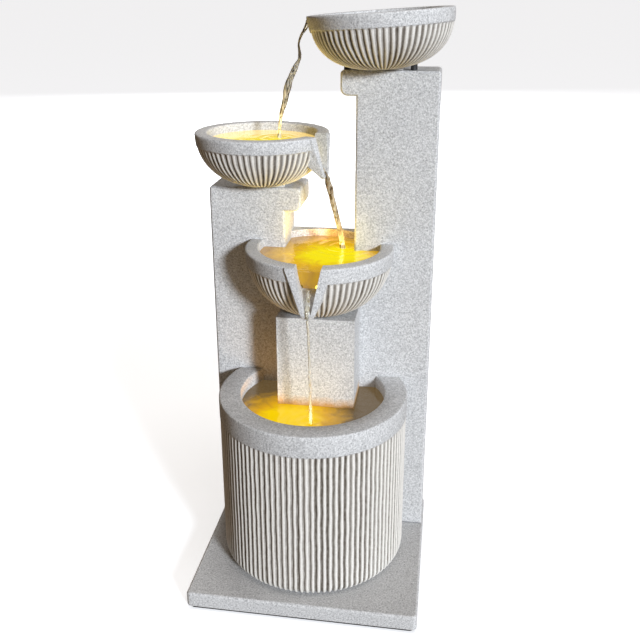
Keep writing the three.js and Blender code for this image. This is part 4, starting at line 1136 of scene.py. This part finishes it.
def make_streams(materials):
    for name, size, spout, level, reach, decay in (
        ("middle_tongue", MIDDLE, MIDDLE_SPOUT, MIDDLE_WATER, 2.6, 2.3),
        ("left_tongue", LEFT, LEFT_SPOUT, LEFT_WATER, 7.0, 4.6),
    ):
        water = materials["middle_water" if size is MIDDLE else "left_water"]
        add_piece(name, tongue_mesh(name, size, spout, level, reach, decay), water)
    left_film = spout_film(LEFT, LEFT_SPOUT)
    tip = left_film[-1]
    left_fall = left_film + [
        (tip[0] + 0.9, tip[1] + 1.0, tip[2] - 5.0, 2.1, 1.7),
        (tip[0] + 2.8, tip[1] + 4.0, tip[2] - 16.0, 2.3, 1.6),
        (tip[0] + 5.6, tip[1] + 9.5, tip[2] - 32.0, 1.7, 1.7),
        (tip[0] + 8.2, tip[1] + 14.5, tip[2] - 47.0, 1.9, 1.6),
        (tip[0] + 9.0, tip[1] + 16.5, MIDDLE_WATER + 1.0, 2.0, 1.8),
        (tip[0] + 9.4, tip[1] + 17.4, MIDDLE_WATER - 4.0, 2.4, 2.2),
    ]
    middle_film = spout_film(MIDDLE, MIDDLE_SPOUT)
    tip = middle_film[-1]
    middle_fall = middle_film + [
        (tip[0] + 0.4, tip[1] - 0.3, tip[2] - 5.0, 1.1, 0.8),
        (tip[0] + 1.0, tip[1] + 0.2, tip[2] - 22.0, 1.0, 0.8),
        (tip[0] + 1.3, tip[1] + 1.2, tip[2] - 45.0, 0.8, 0.8),
        (tip[0] + 1.5, tip[1] + 2.6, BASIN_WATER - 1.5, 1.3, 1.2),
    ]
    lean = bowl_place(TOP)
    over_lip = (
        (-34.0, -3.9, 3.6, 1.2),
        (-39.0, -3.3, 3.4, 1.2),
        (-44.0, -3.0, 3.0, 1.1),
        (-47.6, -3.1, 2.4, 1.1),
    )
    lip = []
    for u, z, wide, thick in over_lip:
        point = lean @ (Vector((u, 0, z)) * MM) / MM
        lip.append((point.x, point.y, point.z, wide, thick))
    top_fall = lip + [
        (-9.9, 35.8, 385.6, 1.4, 0.9),
        (-13.2, 36.3, 380.0, 0.9, 0.7),
        (-15.0, 37.2, 374.9, 0.6, 0.6),
        (-14.5, 38.0, 367.0, 1.1, 0.9),
        (-17.3, 38.8, 360.6, 2.1, 1.5),
        (-21.6, 39.7, 352.7, 2.9, 1.9),
        (-24.0, 40.5, 343.4, 2.6, 1.9),
        (-26.7, 41.3, 333.9, 1.9, 1.7),
        (-29.2, 42.2, 325.6, 1.2, 1.2),
        (-30.0, 43.0, 317.3, 1.1, 1.1),
        (-30.4, 43.1, LEFT_WATER + 0.5, 1.7, 1.6),
        (-30.8, 43.3, LEFT_WATER - 3.5, 2.4, 2.2),
    ]
    plans = (
        ("stream_top_to_left", top_fall, 0.55, 4, "upper_stream"),
        ("stream_left_to_middle", left_fall, 0.4, 5, "amber_stream"),
        ("stream_middle_to_basin", middle_fall, 0.25, 6, "pale_stream"),
    )
    for name, stations, rough, seed, material in plans:
        add_piece(name, stream_mesh(name, stations, rough, seed), materials[material])


# ---- carried-over pieces ----
SOFT_EDGES = {
    "back_wall": 1.1,
    "base_plate": 1.0,
    "base_pad": 0.4,
    "pedestal_block": 0.9,
    "lower_rear_cover": 0.35,
    "low_column_cover": 0.35,
    "tall_column_cover": 0.35,
    "pump_door": 0.4,
    "driver_box": 0.6,
    "driver_lid": 0.4,
    "pump_body": 0.7,
    "pump_cover": 0.6,
    "inlet_nut": 0.25,
    "outlet_nut": 0.3,
}


def soften_node(obj, width):
    """A small round on a CAD object's edges; the object itself stays as it is."""
    weld = obj.modifiers.new("Weld", "WELD")
    weld.merge_threshold = 0.00001
    flat = obj.modifiers.new("Flat faces", "DECIMATE")
    flat.decimate_type = "DISSOLVE"
    flat.angle_limit = math.radians(1.0)
    edge = obj.modifiers.new("Soft edges", "BEVEL")
    edge.width = width * MM
    edge.segments = 3
    edge.limit_method = "ANGLE"
    edge.angle_limit = math.radians(28.0)
    edge.use_clamp_overlap = True


def dress_nodes(materials):
    """Each CAD object's finish by its slot, and soft edges where a hand would feel them."""
    slots = {row["node"]: row["material_slot"] for row in RECORD["subparts"]}
    for name, obj in NODES.items():
        material = materials["block_stone" if name == "pedestal_block" else slots[name]]
        for slot in obj.material_slots:
            slot.link = "OBJECT"
            slot.material = material
        if name in SOFT_EDGES:
            soften_node(obj, SOFT_EDGES[name])


# ---- stage ----
# what the camera sees of the floor and the surroundings, and what they give back to the object
FLOOR_SEEN = (0.90, 0.93, 0.98, 1.0)
FLOOR_BOUNCE = (0.19, 0.14, 0.09, 1.0)
FLOOR_LIFT = 0.5
FLOOR_HALF = 60.0  # metres
ROOM_SEEN = (1.15, 1.15, 1.15, 1.0)
ROOM_BOUNCE = (0.14, 0.10, 0.064, 1.0)
WHITE = (1.0, 1.0, 1.0, 1.0)
CENTRE = (0.0, 0.0, 0.2)
KEY_PLACE = (1.65, -2.05, 1.02)


def make_stage():
    work = bmesh.new()
    bmesh.ops.create_grid(work, x_segments=2, y_segments=2, size=FLOOR_HALF)
    mesh = finished("floor", work)
    floor = bpy.data.objects.new("floor", mesh)
    floor.location.z = -0.2 * MM
    show(floor)
    material, tree, shader = new_material("Pale floor")
    seen = add_node(tree, "ShaderNodeLightPath").outputs["Is Camera Ray"]
    set_shader(
        tree,
        shader,
        Base_Color=mix_colors(tree, seen, FLOOR_BOUNCE, FLOOR_SEEN),
        Roughness=0.7,
        Emission_Color=WHITE,
        Emission_Strength=times(tree, seen, FLOOR_LIFT),
    )
    mesh.materials.append(material)


def aim(light, place, target):
    """Puts a light at a place, looking at its target."""
    light.location = place
    light.rotation_euler = (Vector(target) - Vector(place)).to_track_quat("-Z", "Y").to_euler()
    show(light)


def area_light(name, place, target, size, power, colour, unseen=False):
    data = bpy.data.lights.new(name, "AREA")
    data.size = size
    data.energy = power
    data.color = colour
    light = bpy.data.objects.new(name, data)
    light.visible_camera = not unseen
    light.visible_glossy = not unseen
    aim(light, place, target)


def make_lights():
    world = bpy.data.worlds.new("Studio")
    world.use_nodes = True
    tree = world.node_tree
    seen = add_node(tree, "ShaderNodeLightPath").outputs["Is Camera Ray"]
    colour = mix_colors(tree, seen, ROOM_BOUNCE, ROOM_SEEN)
    tree.links.new(colour, tree.nodes["Background"].inputs["Color"])
    bpy.context.scene.world = world
    key = bpy.data.lights.new("Key", "SUN")
    key.energy = 3.75
    key.angle = math.radians(9.0)
    key.color = (0.87, 0.93, 1.0)
    aim(bpy.data.objects.new("Key", key), KEY_PLACE, CENTRE)
    area_light("Overhead", (0.5, -0.45, 2.3), CENTRE, 0.9, 10.0, (1.0, 0.98, 0.96))
    area_light("Rear fill", (-0.5, 2.5, 1.2), CENTRE, 1.2, 46.0, (1.0, 0.99, 0.97), unseen=True)
    glows = (
        ("Basin glow", (-36.0, 0.0, BASIN_WATER + 2.0), (0, 0, 1), 26.0, 0.005, (1.0, 0.46, 0.06)),
        ("Basin front glow", (0.0, -36.0, BASIN_WATER + 2.0), (0, 0.35, 1), 20.0, 0.009, (1.0, 0.76, 0.42)),
        ("Middle glow", (2.0, 34.0, MIDDLE_WATER + 3.0), (0, 0, 1), 34.0, 0.03, (1.0, 0.74, 0.22)),
        ("Pool back glow", (0.0, 52.0, MIDDLE_WATER + 2.0), (0, 1, 0.2), 5.0, 0.004, (1.0, 0.42, 0.06)),
        ("Left glow", (-40.0, 34.0, LEFT_WATER + 3.0), (0, 0, 1), 40.0, 0.036, (1.0, 0.70, 0.25)),
    )
    for name, place, way, size, power, colour in glows:
        spot = Vector(place) * MM
        area_light(name, spot, spot + Vector(way), size * MM, power, colour, unseen=True)


make_camera()
materials = make_materials()
make_basin(materials["cast_stone"])
make_bowls(materials["cast_stone"])
make_water(materials)
make_streams(materials)
dress_nodes(materials)
make_stage()
make_lights()
bpy.context.scene.view_settings.view_transform = "Standard"
